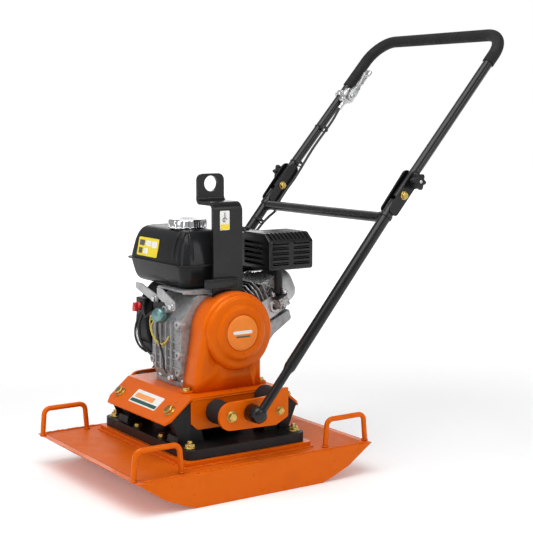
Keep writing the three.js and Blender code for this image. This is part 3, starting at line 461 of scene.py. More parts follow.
def surface(name, slot, palette, patch=14.0, roughness=(0.3, 0.4), smudge=30.0, metallic=0.0, grain=0.0,
            grain_scale=900.0, waves=0.0, wave_scale=60.0, coat=0.0, coat_roughness=0.1, worn_and_lit_edge=None,
            worn_and_lit_share=0.0, corner_shade=0.0, specular=0.5, stretch=(1, 1, 1), ripples=0.0, ripple_scale=400.0,
            tint=(1, 1, 1)):
    """A finished procedural surface.

    palette: colours that drift into each other, at the scale patch. roughness: lowest and highest, drifting
    at the scale smudge. grain and waves: depth in mm of a fine and a coarse relief. ripples: depth in mm of a
    cell pattern. worn_and_lit_edge: colour that shows on outer edges, by the share worn_and_lit_share;
    edge wear on most looks, and a painted highlight on the fin edges of cast_dark. corner_shade: painted
    shade, how much inner corners darken. stretch: scales the grain along each axis. tint: colour of the
    reflection seen face on.
    """
    material = bpy.data.materials.new(name)
    material.use_nodes = True
    tree = material.node_tree
    shader = tree.nodes["Principled BSDF"]
    place = add(tree, "ShaderNodeTexCoord").outputs["Object"]
    drift = add(tree, "ShaderNodeTexNoise", {"Vector": place, "Scale": patch, "Detail": 4.0,
                                             "Roughness": 0.6})
    ramp = add(tree, "ShaderNodeValToRGB", {"Fac": drift.outputs["Fac"]})
    stops = ramp.color_ramp.elements
    for i, colour in enumerate(palette):
        share = 0.32 + 0.36 * i / max(len(palette) - 1, 1)
        stop = stops[i] if i < len(stops) else stops.new(share)
        stop.position = share
        stop.color = colour
    colour = ramp.outputs["Color"]
    edge = add(tree, "ShaderNodeNewGeometry").outputs["Pointiness"]
    # Painted shade: the colour darkens in inner corners, where Pointiness is low.
    if corner_shade > 0:
        depth = add(tree, "ShaderNodeMapRange", {"Value": edge, "From Min": 0.40, "From Max": 0.50,
                                                 "To Min": 1.0 - corner_shade, "To Max": 1.0})
        dark = add(tree, "ShaderNodeMix", {0: 1.0, 6: colour, 7: depth.outputs["Result"]},
                   data_type="RGBA", blend_type="MULTIPLY")
        colour = dark.outputs[2]
    # Outer edges take another colour in noisy patches: edge wear on most looks, a painted highlight on
    # cast_dark.
    if worn_and_lit_edge and worn_and_lit_share > 0:
        worn_and_lit_patches = add(tree, "ShaderNodeTexNoise", {"Vector": place, "Scale": 260.0, "Detail": 6.0})
        rim = add(tree, "ShaderNodeMapRange", {"Value": edge, "From Min": 0.52, "From Max": 0.60})
        both = add(tree, "ShaderNodeMath", {0: rim.outputs["Result"], 1: worn_and_lit_patches.outputs["Fac"]},
                   operation="MULTIPLY")
        share = add(tree, "ShaderNodeMapRange", {"Value": both.outputs["Value"], "From Min": 0.30,
                                                 "From Max": 0.55, "To Max": worn_and_lit_share})
        worn_and_lit_mix = add(tree, "ShaderNodeMix", {0: share.outputs["Result"], 6: colour, 7: worn_and_lit_edge}, data_type="RGBA")
        colour = worn_and_lit_mix.outputs[2]
    tree.links.new(colour, shader.inputs["Base Color"])
    smudges = add(tree, "ShaderNodeTexNoise", {"Vector": place, "Scale": smudge, "Detail": 3.0})
    rough = add(tree, "ShaderNodeMapRange", {"Value": smudges.outputs["Fac"], "From Min": 0.3,
                                             "From Max": 0.7,
                                             "To Min": roughness[0], "To Max": roughness[1]})
    tree.links.new(rough.outputs["Result"], shader.inputs["Roughness"])
    normal = None
    stretched = add(tree, "ShaderNodeMapping", {"Vector": place, "Scale": stretch}).outputs["Vector"]
    for depth, scale, detail, vector in ((waves, wave_scale, 2.0, place),
                                         (grain, grain_scale, 5.0, stretched)):
        if depth <= 0:
            continue
        relief = add(tree, "ShaderNodeTexNoise", {"Vector": vector, "Scale": scale, "Detail": detail})
        inputs = {"Height": relief.outputs["Fac"], "Distance": depth * MM, "Strength": 1.0}
        if normal is not None:
            inputs["Normal"] = normal
        normal = add(tree, "ShaderNodeBump", inputs).outputs["Normal"]
    if ripples > 0:
        cells = add(tree, "ShaderNodeTexVoronoi", {"Vector": place, "Scale": ripple_scale})
        inputs = {"Height": cells.outputs["Distance"], "Distance": ripples * MM, "Strength": 1.0}
        if normal is not None:
            inputs["Normal"] = normal
        normal = add(tree, "ShaderNodeBump", inputs).outputs["Normal"]
    if normal is not None:
        tree.links.new(normal, shader.inputs["Normal"])
    shader.inputs["Metallic"].default_value = metallic
    shader.inputs["Coat Weight"].default_value = coat
    shader.inputs["Coat Roughness"].default_value = coat_roughness
    shader.inputs["Specular IOR Level"].default_value = specular
    shader.inputs["Specular Tint"].default_value = (*tint, 1)
    LOOKS[name] = (material, slot)
    return material


ORANGE_SHINE = (1.0, 0.5, 0.08)
surface("orange_gloss", "orange_paint", [rgb(208, 86, 2), rgb(218, 94, 4), rgb(212, 90, 3)], patch=9,
        roughness=(0.26, 0.36), grain=0.03, grain_scale=1400, waves=0.08, wave_scale=160, coat=0.05,
        coat_roughness=0.08, worn_and_lit_edge=rgb(150, 66, 18), worn_and_lit_share=0.4, corner_shade=0.35, specular=0.5, tint=ORANGE_SHINE)
surface("orange_deck", "orange_paint", [rgb(206, 90, 12), rgb(212, 96, 16)], patch=16, roughness=(0.42, 0.54),
        grain=0.04, grain_scale=1100, worn_and_lit_edge=rgb(150, 66, 18), worn_and_lit_share=0.35, corner_shade=0.35, specular=0.15,
        tint=ORANGE_SHINE)
surface("orange_weld", "orange_paint", [rgb(200, 82, 4), rgb(222, 100, 10)], patch=120, roughness=(0.34, 0.5),
        grain=0.25, grain_scale=600, coat=0.1, corner_shade=0.5, tint=ORANGE_SHINE)
surface("black_gloss", "black_paint", [rgb(11, 11, 12), rgb(17, 17, 18)], patch=16, roughness=(0.24, 0.36),
        grain=0.035, grain_scale=1100, waves=0.05, wave_scale=220, coat=0.15, coat_roughness=0.12,
        worn_and_lit_edge=rgb(58, 58, 60), worn_and_lit_share=0.5, specular=0.32)
surface("black_cast", "black_casting", [rgb(10, 10, 11), rgb(20, 20, 20), rgb(14, 14, 14)], patch=40,
        roughness=(0.36, 0.52), grain=0.18, grain_scale=700, waves=0.5, wave_scale=90, worn_and_lit_edge=rgb(66, 64, 62),
        worn_and_lit_share=0.4, corner_shade=0.3, specular=0.3)
surface("tank_satin", "tank_paint", [rgb(25, 26, 27), rgb(31, 32, 33)], patch=12, roughness=(0.26, 0.34),
        grain=0.03, grain_scale=1300, waves=0.06, wave_scale=140, coat=0.06, coat_roughness=0.12,
        worn_and_lit_edge=rgb(54, 55, 57), worn_and_lit_share=0.3, specular=0.16)
surface("black_moulded", "black_plastic", [rgb(15, 15, 16), rgb(22, 22, 23)], patch=25,
        roughness=(0.38, 0.52),
        grain=0.05, grain_scale=1700, ripples=0.03, ripple_scale=1500, worn_and_lit_edge=rgb(54, 54, 56), worn_and_lit_share=0.4,
        specular=0.35)
surface("black_shiny", "black_plastic", [rgb(11, 11, 12), rgb(17, 17, 18)], patch=20, roughness=(0.2, 0.3),
        grain=0.02, grain_scale=1500, coat=0.3, waves=0.08, wave_scale=120, specular=0.4)
surface("black_blower", "black_plastic", [rgb(13, 13, 14), rgb(19, 19, 20)], patch=25, roughness=(0.5, 0.62),
        grain=0.04, grain_scale=1500, ripples=0.03, ripple_scale=1500, worn_and_lit_edge=rgb(48, 48, 50), worn_and_lit_share=0.3,
        specular=0.12)
surface("rubber", "black_rubber", [rgb(17, 17, 17), rgb(26, 25, 25), rgb(21, 21, 21)], patch=45,
        roughness=(0.62, 0.82), grain=0.06, grain_scale=1200, waves=0.15, wave_scale=150,
        worn_and_lit_edge=rgb(72, 70, 67),
        worn_and_lit_share=0.35, specular=0.35)
surface("cast", "cast_aluminium", [rgb(132, 133, 134), rgb(166, 167, 168), rgb(148, 149, 150)], patch=55,
        roughness=(0.42, 0.62), metallic=0.45, grain=0.16, grain_scale=900, waves=0.35, wave_scale=120,
        worn_and_lit_edge=rgb(205, 205, 204), worn_and_lit_share=0.5, corner_shade=0.55)
surface("cast_light", "cast_aluminium", [rgb(168, 169, 170), rgb(196, 197, 197)], patch=40,
        roughness=(0.38, 0.55), metallic=0.6, grain=0.10, grain_scale=1000, waves=0.15, wave_scale=100,
        worn_and_lit_edge=rgb(225, 225, 225), worn_and_lit_share=0.4, corner_shade=0.4)
# Painted shade and highlight: the dark colour stands for the shade between the cylinder fins, and the pale
# edge colour is a painted highlight on the fin edges.
surface("cast_dark", "cast_aluminium", [rgb(34, 34, 35), rgb(52, 52, 53)], patch=60, roughness=(0.4, 0.55),
        metallic=0.3, grain=0.12, grain_scale=900, worn_and_lit_edge=rgb(196, 196, 195), worn_and_lit_share=0.9, corner_shade=0.4)
surface("die_cast", "cast_aluminium", [rgb(188, 189, 190), rgb(214, 214, 214)], patch=60,
        roughness=(0.22, 0.36), metallic=0.95, grain=0.05, grain_scale=1100, waves=0.2, wave_scale=110,
        worn_and_lit_edge=rgb(235, 235, 235), worn_and_lit_share=0.4, corner_shade=0.5)
surface("steel", "bare_steel", [rgb(140, 141, 143), rgb(168, 168, 168)], patch=60, roughness=(0.26, 0.4),
        metallic=1.0, grain=0.02, grain_scale=700, stretch=(12, 1, 1), corner_shade=0.3)
surface("steel_hot", "bare_steel", [rgb(96, 92, 88), rgb(128, 120, 110), rgb(84, 84, 88)], patch=40,
        roughness=(0.4, 0.55), metallic=0.9, grain=0.08, grain_scale=900, corner_shade=0.4)
surface("zinc", "zinc_plate", [rgb(196, 160, 70), rgb(206, 178, 104), rgb(178, 158, 84), rgb(206, 150, 92)],
        patch=150, roughness=(0.22, 0.36), metallic=1.0, grain=0.02, grain_scale=1500,
        worn_and_lit_edge=rgb(226, 216, 180), worn_and_lit_share=0.4, corner_shade=0.45)
surface("silver_zinc", "zinc_plate", [rgb(186, 188, 190), rgb(208, 209, 210)], patch=150,
        roughness=(0.22, 0.34), metallic=1.0, grain=0.02, grain_scale=1500, corner_shade=0.4)
surface("chrome", "chrome_plate", [rgb(222, 224, 226), rgb(236, 237, 238)], patch=20, roughness=(0.04, 0.1),
        metallic=1.0, waves=0.015, wave_scale=90, corner_shade=0.4)
surface("red", "red_plastic", [rgb(184, 26, 32), rgb(200, 34, 38)], patch=60, roughness=(0.28, 0.4),
        grain=0.03, grain_scale=1400, coat=0.2, corner_shade=0.3)
surface("teal", "cast_aluminium", [rgb(98, 138, 138), rgb(126, 160, 156)], patch=80, roughness=(0.25, 0.4),
        metallic=0.7, grain=0.04, grain_scale=1000, corner_shade=0.4)
surface("wire_black", "black_rubber", [rgb(18, 18, 19), rgb(26, 26, 27)], patch=60, roughness=(0.4, 0.5),
        grain=0.02, grain_scale=1800)
surface("wire_yellow", "black_rubber", [rgb(196, 176, 60), rgb(214, 196, 84)], patch=60,
        roughness=(0.4, 0.5), grain=0.02, grain_scale=1800)
surface("badge_orange", "orange_paint", [rgb(232, 124, 34), rgb(240, 134, 44)], patch=30,
        roughness=(0.34, 0.44), grain=0.02, grain_scale=1200, specular=0.3)
LABELS = (("yellow", (232, 206, 22), (240, 216, 36)), ("white", (226, 226, 222), (236, 236, 232)),
          ("green", (24, 74, 62), (30, 84, 70)), ("grey", (70, 70, 72), (84, 84, 86)),
          ("pale", (240, 150, 78), (246, 160, 92)))
for label, darker, lighter in LABELS:
    surface(f"label_{label}", "orange_paint", [rgb(*darker), rgb(*lighter)], patch=30, roughness=(0.3, 0.4),
            grain=0.01, grain_scale=1500, coat=0.3)


# ---- stage ---------------------------------------------------------------------------------
def make_camera():
    data = bpy.data.cameras.new("camera")
    data.lens = 85.14
    camera = bpy.data.objects.new("camera", data)
    bpy.context.scene.collection.objects.link(camera)
    back = Vector((0.8248, -0.5522, 0.1212))
    camera.location = (2.2673, -1.3534, 0.7595)
    camera.rotation_mode = "QUATERNION"
    camera.rotation_quaternion = (-back).to_track_quat("-Z", "Y")
    bpy.context.scene.camera = camera


def area_light(name, location, target, size, power):
    data = bpy.data.lights.new(name, "AREA")
    data.shape = "RECTANGLE"
    data.size, data.size_y = size
    data.energy = power
    light = bpy.data.objects.new(name, data)
    bpy.context.scene.collection.objects.link(light)
    light.location = location
    light.rotation_mode = "QUATERNION"
    light.rotation_quaternion = (Vector(target) - Vector(location)).to_track_quat("-Z", "Y")


def make_stage():
    bpy.context.scene.view_settings.view_transform = "Standard"
    world = bpy.data.worlds.new("studio")
    world.use_nodes = True
    tree = world.node_tree
    background = tree.nodes["Background"]
    seen = add(tree, "ShaderNodeLightPath").outputs["Is Camera Ray"]
    strength = add(tree, "ShaderNodeMapRange", {"Value": seen, "To Min": 0.36, "To Max": 1.0})
    background.inputs["Color"].default_value = (1, 1, 1, 1)
    tree.links.new(strength.outputs["Result"], background.inputs["Strength"])
    bpy.context.scene.world = world
    floor = bpy.data.objects.new("floor", bpy.data.meshes.new("floor"))
    bm = bmesh.new()
    bmesh.ops.create_circle(bm, cap_ends=True, segments=64, radius=14)
    bm.to_mesh(floor.data)
    bm.free()
    bpy.context.scene.collection.objects.link(floor)
    surface("floor_white", None, [rgb(244, 244, 244), rgb(247, 247, 247)], patch=2, roughness=(0.6, 0.7),
            grain=0.02, grain_scale=600, specular=0.2)
    white = LOOKS["floor_white"][0]
    glow = white.node_tree
    away = add(glow, "ShaderNodeVectorMath", {0: add(glow, "ShaderNodeTexCoord").outputs["Object"]},
               operation="LENGTH")
    lift = add(glow, "ShaderNodeMapRange", {"Value": away.outputs["Value"], "From Min": 0.9, "From Max": 3.5,
                                            "To Min": 0.12, "To Max": 0.9})
    shader = glow.nodes["Principled BSDF"]
    shader.inputs["Emission Color"].default_value = (1, 1, 1, 1)
    glow.links.new(lift.outputs["Result"], shader.inputs["Emission Strength"])
    floor.data.materials.append(white)
    area_light("overhead", (0.5, -0.6, 2.6), (0, 0, 0.3), (2.2, 2.2), 54)
    area_light("left", (0.2, -2.6, 1.4), (0, 0, 0.4), (1.0, 1.6), 11)
    area_light("right", (2.6, 1.2, 1.5), (0, 0.1, 0.3), (0.9, 1.4), 13)
    area_light("behind", (-2.4, 1.4, 1.6), (0, 0, 0.4), (1.6, 1.6), 12)


make_camera()
make_stage()


# ---- base plate ----------------------------------------------------------------------------
def sole_half(inset, top):
    """Sole line from the middle of the plate to its raised end."""
    end = 280
    rise = math.atan2(DECK_TOP - 26, end - 218)
    slide = inset / math.sin(rise) + (DECK_TOP - top) / math.tan(rise)
    return [(SOLE_FLAT, inset), (SOLE_FLAT + 27 - inset * 0.15, 9 + inset * 0.97),
            (218 - inset * 0.45, 26 + inset * 0.9), (end - slide, top)]


def sole_outline(inset, top):
    half = sole_half(inset, top)
    rear = [(*p, 46 if 0 < i < 3 else 0) for i, p in enumerate(half)]
    front = [(-p[0], p[1], p[2]) for p in reversed(rear)]
    return rounded(front + rear, 8)


def weld_bead(points, radius, seed, step=2.6):
    """Bumpy bead along straight runs between points."""
    line = []
    for a, b in zip(points, points[1:]):
        a, b = Vector(a), Vector(b)
        count = max(int((b - a).length / step), 1)
        line += [a.lerp(b, i / count) for i in range(count)]
    line.append(Vector(points[-1]))
    bm = swept(line, radius, 8)
    for vert in bm.verts:
        place = vert.co
        wobble = noise.noise(place * 0.22 + Vector((seed, 0, 0))) + 0.7 * noise.noise(place * 0.6)
        vert.co = place + Vector((0, 0, 1)) * wobble * radius * 0.42
    return bm


def make_base():
    shell = prism(sole_outline(0, DECK_TOP), "x", PLATE_LOW.x, PLATE_HIGH.x)
    inside = prism(sole_outline(8, DECK_TOP + 1), "x", PLATE_LOW.x + 6, PLATE_HIGH.x - 6)
    piece("base_plate", shell, "orange_gloss", ["base_shell"], cut=[inside], soft=1.2)
    keep_node("deck_plate", "orange_deck", 0.3)
    keep_node("mounting_pad", "orange_gloss", 1.2)
    for side, hand in SIDES:
        x = side * (PLATE_HIGH.x - 6.5)
        bead = weld_bead([(x, -262, DECK_TOP), (x, 262, DECK_TOP)], 2.6, 3 * side)
        piece(f"deck_weld_{hand}", bead, "orange_weld", angle=80)
    x, y = PAD_HIGH.x + 0.5, PAD_HIGH.y + 0.5
    around = [(-x, -y), (x, -y), (x, y), (-x, y), (-x, -y)]
    bead = weld_bead([(a, b, DECK_TOP + 0.8) for a, b in around], 2.8, 11)
    piece("pad_weld", bead, "orange_weld", angle=80)
    for side, hand in SIDES:
        for end, place in ENDS:
            make_lift_handle(side, end, f"{place}_{hand}")


def make_lift_handle(side, end, name):
    _, high = corners(f"lift_handle_{name}")
    x = side * LIFT_BAR["x"]
    radius = LIFT_BAR["radius"]
    near, far, lean = LIFT_BAR["near"], LIFT_BAR["far"], LIFT_BAR["lean"]
    line = bent([(x, end * near, DECK_TOP - 2), (x, end * (near + lean), high.z - radius),
                 (x, end * (far - lean), high.z - radius), (x, end * far, DECK_TOP - 2)], LIFT_BAR["bend"],
                10)
    piece(f"lift_bar_{name}", swept(line, radius, 24), "orange_gloss", [f"lift_handle_{name}"],
          angle=60)
    for foot, y in (("near", near), ("far", far - 1)):
        ring = [Vector((x + 5.2 * math.cos(a / 5 * math.pi), end * y + 5.2 * math.sin(a / 5 * math.pi),
                        DECK_TOP + 1.4)) for a in range(11)]
        bead = weld_bead(ring, 2.4, y * side, 1.8)
        piece(f"lift_weld_{name}_{foot}", bead, "orange_weld", angle=80)


# ---- exciter -------------------------------------------------------------------------------
def make_exciter():
    keep_node("exciter_housing", "black_cast", 1.4)
    for hand in ("left", "right"):
        keep_node(f"exciter_end_cover_{hand}", "black_cast", 0.8)
        keep_node(f"exciter_bearing_{hand}", "steel", 0.5)
    keep_node("eccentric_shaft", "steel", 0.5)
    keep_node("exciter_pulley", "cast_dark", 0.5)
    y, z = EXCITER_AXIS
    low, _ = corners("exciter_end_cover_left")
    for i in range(6):
        angle = math.radians(60 * i + 30)
        at = (low.x, y + 31 * math.cos(angle), z + 31 * math.sin(angle))
        add_bolt(f"end_cover_screw_{i}", at, (-1, 0, 0), 5, soft=0.2, washer=False)
    bolt_x, bolt_y = FLANGE_BOLT
    corner_spots = [(side * bolt_x, end * bolt_y, 11, 6) for side, _ in SIDES for end, _ in ENDS]
    inner_spots = [(side * 52, end * 127, 9, 0) for side, _ in SIDES for end, _ in ENDS]
    for i, (x, y, size, stud) in enumerate(corner_spots + inner_spots):
        add_bolt(f"flange_bolt_{i}", (x, y, FLANGE_TOP + 0.2), (0, 0, 1), size, soft=0.35, stud=stud)
    for side, hand in SIDES:
        for end, place in ENDS:
            gusset = rounded([(end * 84, 99), (end * 140, 99), (end * 118, 112, 8), (end * 96, 126)], 4)
            name = f"flange_rib_{hand[0]}{place[0]}"
            piece(name, prism(gusset, "x", side * 84 - 4, side * 84 + 4), "black_cast", soft=1.2)


# ---- console -------------------------------------------------------------------------------
def flap_frame():
    """Slope direction and outward normal of the front flap, in the YZ plane (y towards the end)."""
    run = CONSOLE["flap_y"] - CONSOLE["y"]
    drop = CONSOLE["top"] - CONSOLE["flap_z"]
    length = math.hypot(run, drop)
    slope = Vector((run / length, -drop / length))
    return slope, Vector((drop / length, run / length))


def flap_point(x, from_fold, end, out=0.0):
    """Point on the outside of a flap, a distance down from its fold."""
    slope, normal = flap_frame()
    flat = Vector((CONSOLE["y"], CONSOLE["top"])) + slope * from_fold + normal * out
    return Vector((x, end * flat.x, flat.y))


def flap_normal(end):
    _, normal = flap_frame()
    return Vector((0, end * normal.x, normal.y))


def plate_on_flap(width, height, x, from_fold, end, out, thick, radius=3.0):
    """Thin plate lying on a flap, its middle at a distance down from the fold."""
    slope, _ = flap_frame()
    bm = prism(rectangle(-width / 2, -height / 2, width / 2, height / 2, radius), "z", 0, thick)
    up = Vector((0, -end * slope.x, -slope.y))
    normal = flap_normal(end)
    side = up.cross(normal)
    turn = Matrix((side, up, normal)).transposed().to_4x4()
    return moved(bm, Matrix.Translation(flap_point(x, from_fold, end, out)) @ turn)


def make_console():
    x, y, top, sheet = CONSOLE["x"], CONSOLE["y"], CONSOLE["top"], CONSOLE["sheet"]

    def folded(inset):
        edge = inset * 0.45
        tip = (CONSOLE["flap_y"] - inset * 0.64, CONSOLE["flap_z"] - inset * 0.77)
        return [(-tip[0], tip[1]), (-y + edge, top - inset, 9 - inset), (y - edge, top - inset, 9 - inset),
                tip]

    section = rounded(folded(0) + folded(sheet)[::-1], 5)
    trims = []
    for hand, _ in SIDES:
        for end, _ in ENDS:
            trims.append(prism([(hand * (x + 1), end * 166), (hand * (x - 14), end * 166),
                                (hand * (x + 1), end * 151)], "z", 125, 175))
    belt_slot = block(67, 99, -48, 74, 180, 200, 6)
    piece("console_plate", prism(section, "x", -x, x), "orange_gloss", ["engine_console"],
          cut=[belt_slot, merged(*trims)], soft=0.9)
    bottom = CONSOLE["side_bottom"]
    edge = [(y - 4, top - sheet), (y, top - sheet - 4), (y, bottom + 14, 4), (y - 16, bottom, 6)]
    side = rounded(edge + [(-point[0], *point[1:]) for point in edge[::-1]], 5)
    for hand, name in SIDES:
        wall = prism(side, "x", hand * (x - sheet), hand * x)
        piece(f"console_side_{name}", wall, "orange_gloss", soft=0.9)
        seam_x, seam_z = hand * (x - 0.6), top - sheet - 0.5
        bead = weld_bead([(seam_x, -y + 6, seam_z), (seam_x, y - 6, seam_z)], 1.6, hand * 5)
        piece(f"console_weld_{name}", bead, "orange_weld", angle=80)
    for end, place in ENDS:
        for hand, name in SIDES:
            seat = flap_point(hand * ISOLATOR["x"], ISOLATOR["from_fold"], end, 0.1)
            add_bolt(f"flap_bolt_{place}_{name}", seat, flap_normal(end), 11, soft=0.35)
    make_flap_label()


def make_flap_label():
    backing = plate_on_flap(112, 34, 2, 38, -1, 0.05, 0.35)
    piece("flap_label", backing, "label_white")
    piece("flap_label_band", plate_on_flap(106, 8, 2, 48, -1, 0.3, 0.25, 1.5), "label_green")
    piece("flap_label_bar", plate_on_flap(78, 12, -8, 35, -1, 0.3, 0.25, 3), "label_pale")


def make_isolators():
    for end, place in ENDS:
        for side, hand in SIDES:
            x = side * ISOLATOR["x"]
            seat = flap_point(x, ISOLATOR["from_fold"], end, -CONSOLE["sheet"] - 0.3)
            inwards = -flap_normal(end)
            length, radius = ISOLATOR["length"], ISOLATOR["radius"]
            profile = [(3.2, radius), (5, radius), (length * 0.3, radius - 2.2), (length * 0.5, radius - 3),
                       (length * 0.7, radius - 2.2), (length - 5, radius), (length - 3.2, radius)]
            rubber = turned([(3, 0), *profile, (length - 3, 0)], seat, inwards, 48)
            name = f"isolator_{place}_{hand}"
            piece(f"{name}_rubber", rubber, "rubber", [name], angle=50)
            plates = merged(bar(seat, seat + inwards * 3.2, radius, 48, 0.5),
                            bar(seat + inwards * (length - 3.2), seat + inwards * length, radius, 48, 0.5))
            piece(f"{name}_plates", plates, "black_cast")
    for side, hand in SIDES:
        for place, (y, z) in BUFFERS.items():
            full = BUFFER_RADIUS
            profile = [(0, 0), (0, full - 3), (1.5, full - 0.6), (5, full), (16, full - 0.8),
                       (26.2, full - 1.4),
                       (36, full - 0.8), (47, full), (50.9, full - 0.6), (52.4, full - 3), (52.4, 0)]
            buffer = turned(profile, (side * (CONSOLE["x"] + 0.3), y, z), (side, 0, 0), 56)
            name = f"bracket_buffer_{place}_{hand}"
            piece(f"{name}_rubber", buffer, "rubber", [name], angle=50)
            drop, size = (19, 8) if place == "rear" else (0, 10)
            seat = (side * (BRACKET[1] + 0.1), y, z - drop)
            add_bolt(f"{name}_bolt", seat, (side, 0, 0), size, soft=0.35)


def make_brackets():
    shape = rounded([(-77, 132, 28), (58, 128.5, 8), (88, 143, 6), (88, 203, 2), (77, 203, 2), (34, 190, 8),
                     (14, 189.5, 6), (-77, 188, 28)], 8)
    for side, hand in SIDES:
        plate = prism(shape, "x", side * BRACKET[0], side * BRACKET[1])
        hole = bar((side * 180, *PIVOT), (side * 200, *PIVOT), 6.6)
        piece(f"bracket_plate_{hand}", plate, "orange_gloss", [f"handle_bracket_{hand}"],
              cut=[hole],
              soft=1.0)


# ---- handle --------------------------------------------------------------------------------
def make_lower_handle():
    bars = []
    for side in (-1, 1):
        x = side * HANDLE_X
        boss = [(195.4, 12), (195.4, 17), (196.6, 18), (216, 18), (226, 17), (232, 14.5), (234.5, 9),
                (235, 0)]
        bars.append(turned([(195.4, 0), *boss], (0, 0, 0), (side, 0, 0), 48))
        bars.append(bar((side * 184, 0, 0), (side * 196, 0, 0), 6))
        profile = [(0, 9), (THIN_END - 6, 9), (THIN_END + 5, 12), (HINGE_AT - 62, 12), (HINGE_AT - 52, 12.4),
                   (HINGE_AT - 19, 12.4), (HINGE_AT - 18, 11.4), (HINGE_AT - 18, 0)]
        bars.append(turned([(0, 0), *profile], (x, 0, 0), (0, 1, 0), 40))
    bars.append(bar((-HANDLE_X, CROSSBAR_AT, 0), (HANDLE_X, CROSSBAR_AT, 0), 11, 40))
    piece("lower_tubes", moved(merged(*bars), LOWER), "black_gloss", ["lower_handle"],
          angle=50, body="lower_handle")
    for side, hand in SIDES:
        x = side * HANDLE_X
        for face, inner in ((-1, "a"), (1, "b")):
            fork = rounded([(HINGE_AT - 48, -13, 8), (HINGE_AT + 62, -15, 14), (HINGE_AT + 62, 15, 14),
                            (HINGE_AT - 48, 13, 8)], 8)
            cheek = prism(fork, "x", x + face * 11.5, x + face * 15.5)
            hole = bar((x - 20, HINGE_AT, 0), (x + 20, HINGE_AT, 0), 4.4)
            piece(f"hinge_cheek_{hand}_{inner}", moved(cheek, LOWER), "black_gloss",
                  cut=[moved(hole, LOWER)], soft=0.8, body="lower_handle")
        collar = turned([(0, 12.6), (1, 14.2), (8, 14.2), (9, 12.6)], (x, HINGE_AT - 60, 0), (0, 1, 0), 40)
        piece(f"hinge_collar_{hand}", moved(collar, LOWER), "black_gloss", body="lower_handle")
    ring_welds()
    make_hinge_bolts()


def ring_welds():
    """Weld rings where the crossbar meets the side tubes."""
    for side, hand in SIDES:
        x = side * (HANDLE_X - 12.4)
        ring = [Vector((x, CROSSBAR_AT + 11 * math.cos(a / 12 * math.pi), 11 * math.sin(a / 12 * math.pi)))
                for a in range(25)]
        bead = swept(ring, 2.0, 8)
        for vert in bead.verts:
            vert.co += Vector((side, 0, 0)) * noise.noise(vert.co * 0.5) * 0.9
        piece(f"crossbar_weld_{hand}", moved(bead, LOWER), "black_gloss", angle=80, body="lower_handle")


def make_hinge_bolts():
    for side, hand in SIDES:
        x = side * HANDLE_X
        inner = (x - side * 15.7, HINGE_AT, 0)
        outer = (x + side * 15.7, HINGE_AT, 0)
        parts = [hex_bolt(inner, (-side, 0, 0), 8), hex_bolt(outer, (side, 0, 0), 8),
                 bar((x - 15, HINGE_AT, 0), (x + 15, HINGE_AT, 0), 4)]
        piece(f"hinge_screw_{hand}", moved(merged(*parts), LOWER), "zinc",
              [f"hinge_bolt_{hand}"], soft=0.25, body="lower_handle")
        make_star_knob(side, hand)


def make_star_knob(side, hand):
    """Six-lobed clamping knob with a domed face, on a threaded stud."""
    lobes, around = 6, 96
    levels = [(0, 0.72), (1.5, 0.9), (4, 0.98), (9, 1.0), (12, 0.97), (14, 0.88), (15, 0.72), (15.2, 0.5)]
    shapes = []
    for height, share in levels:
        shape = []
        for i in range(around):
            angle = 2 * math.pi * i / around
            reach = (16.2 + 2.8 * math.cos(lobes * angle)) * share
            shape.append((reach * math.cos(angle), reach * math.sin(angle)))
        shapes.append((side * (24.5 + height), shape))
    body = loft(shapes, "x")
    stem = turned([(15.8, 0), (15.8, 10), (17, 10.6), (25, 12), (25, 0)], (0, 0, 0), (side, 0, 0), 40)
    dimple = bar((side * 39.4, 0, 0), (side * 45, 0, 0), 4.5)
    place = LOWER @ Matrix.Translation((side * HANDLE_X, HINGE_AT + KNOB_AT, 0))
    piece(f"knob_{hand}_body", moved(merged(body, stem), place), "black_moulded",
          [f"star_knob_{hand}"], cut=[moved(dimple, place)], angle=40, body=f"knob_{hand}")
    stud = merged(bar((side * 11.7, 0, 0), (side * 26, 0, 0), 4),
                  hex_bolt((side * 39, 0, 0), (side, 0, 0), 4, washer=False))
    piece(f"knob_{hand}_stud", moved(stud, place), "silver_zinc", body=f"knob_{hand}")


def make_upper_handle():
    x = HANDLE_X
    loop = swept(bent([(-x, -9, 0), (-x, UPPER_LENGTH, 0), (x, UPPER_LENGTH, 0), (x, -9, 0)], 62, 16), 11, 40)
    holes = [moved(bar((side * x - 20, 0, 0), (side * x + 20, 0, 0), 4.4), UPPER) for side, _ in SIDES]
    piece("upper_tube", moved(loop, UPPER), "black_gloss", ["upper_handle"],
          cut=[merged(*holes)], angle=50, body="upper_handle")
    grip_line = bent([(-x, 312, 0), (-x, UPPER_LENGTH, 0), (x, UPPER_LENGTH, 0), (x, 372, 0)], 62, 16)
    grip = swept(grip_line, 13.4, 40)
    piece("grip_sleeve", moved(grip, UPPER), "rubber", angle=50, body="upper_handle")


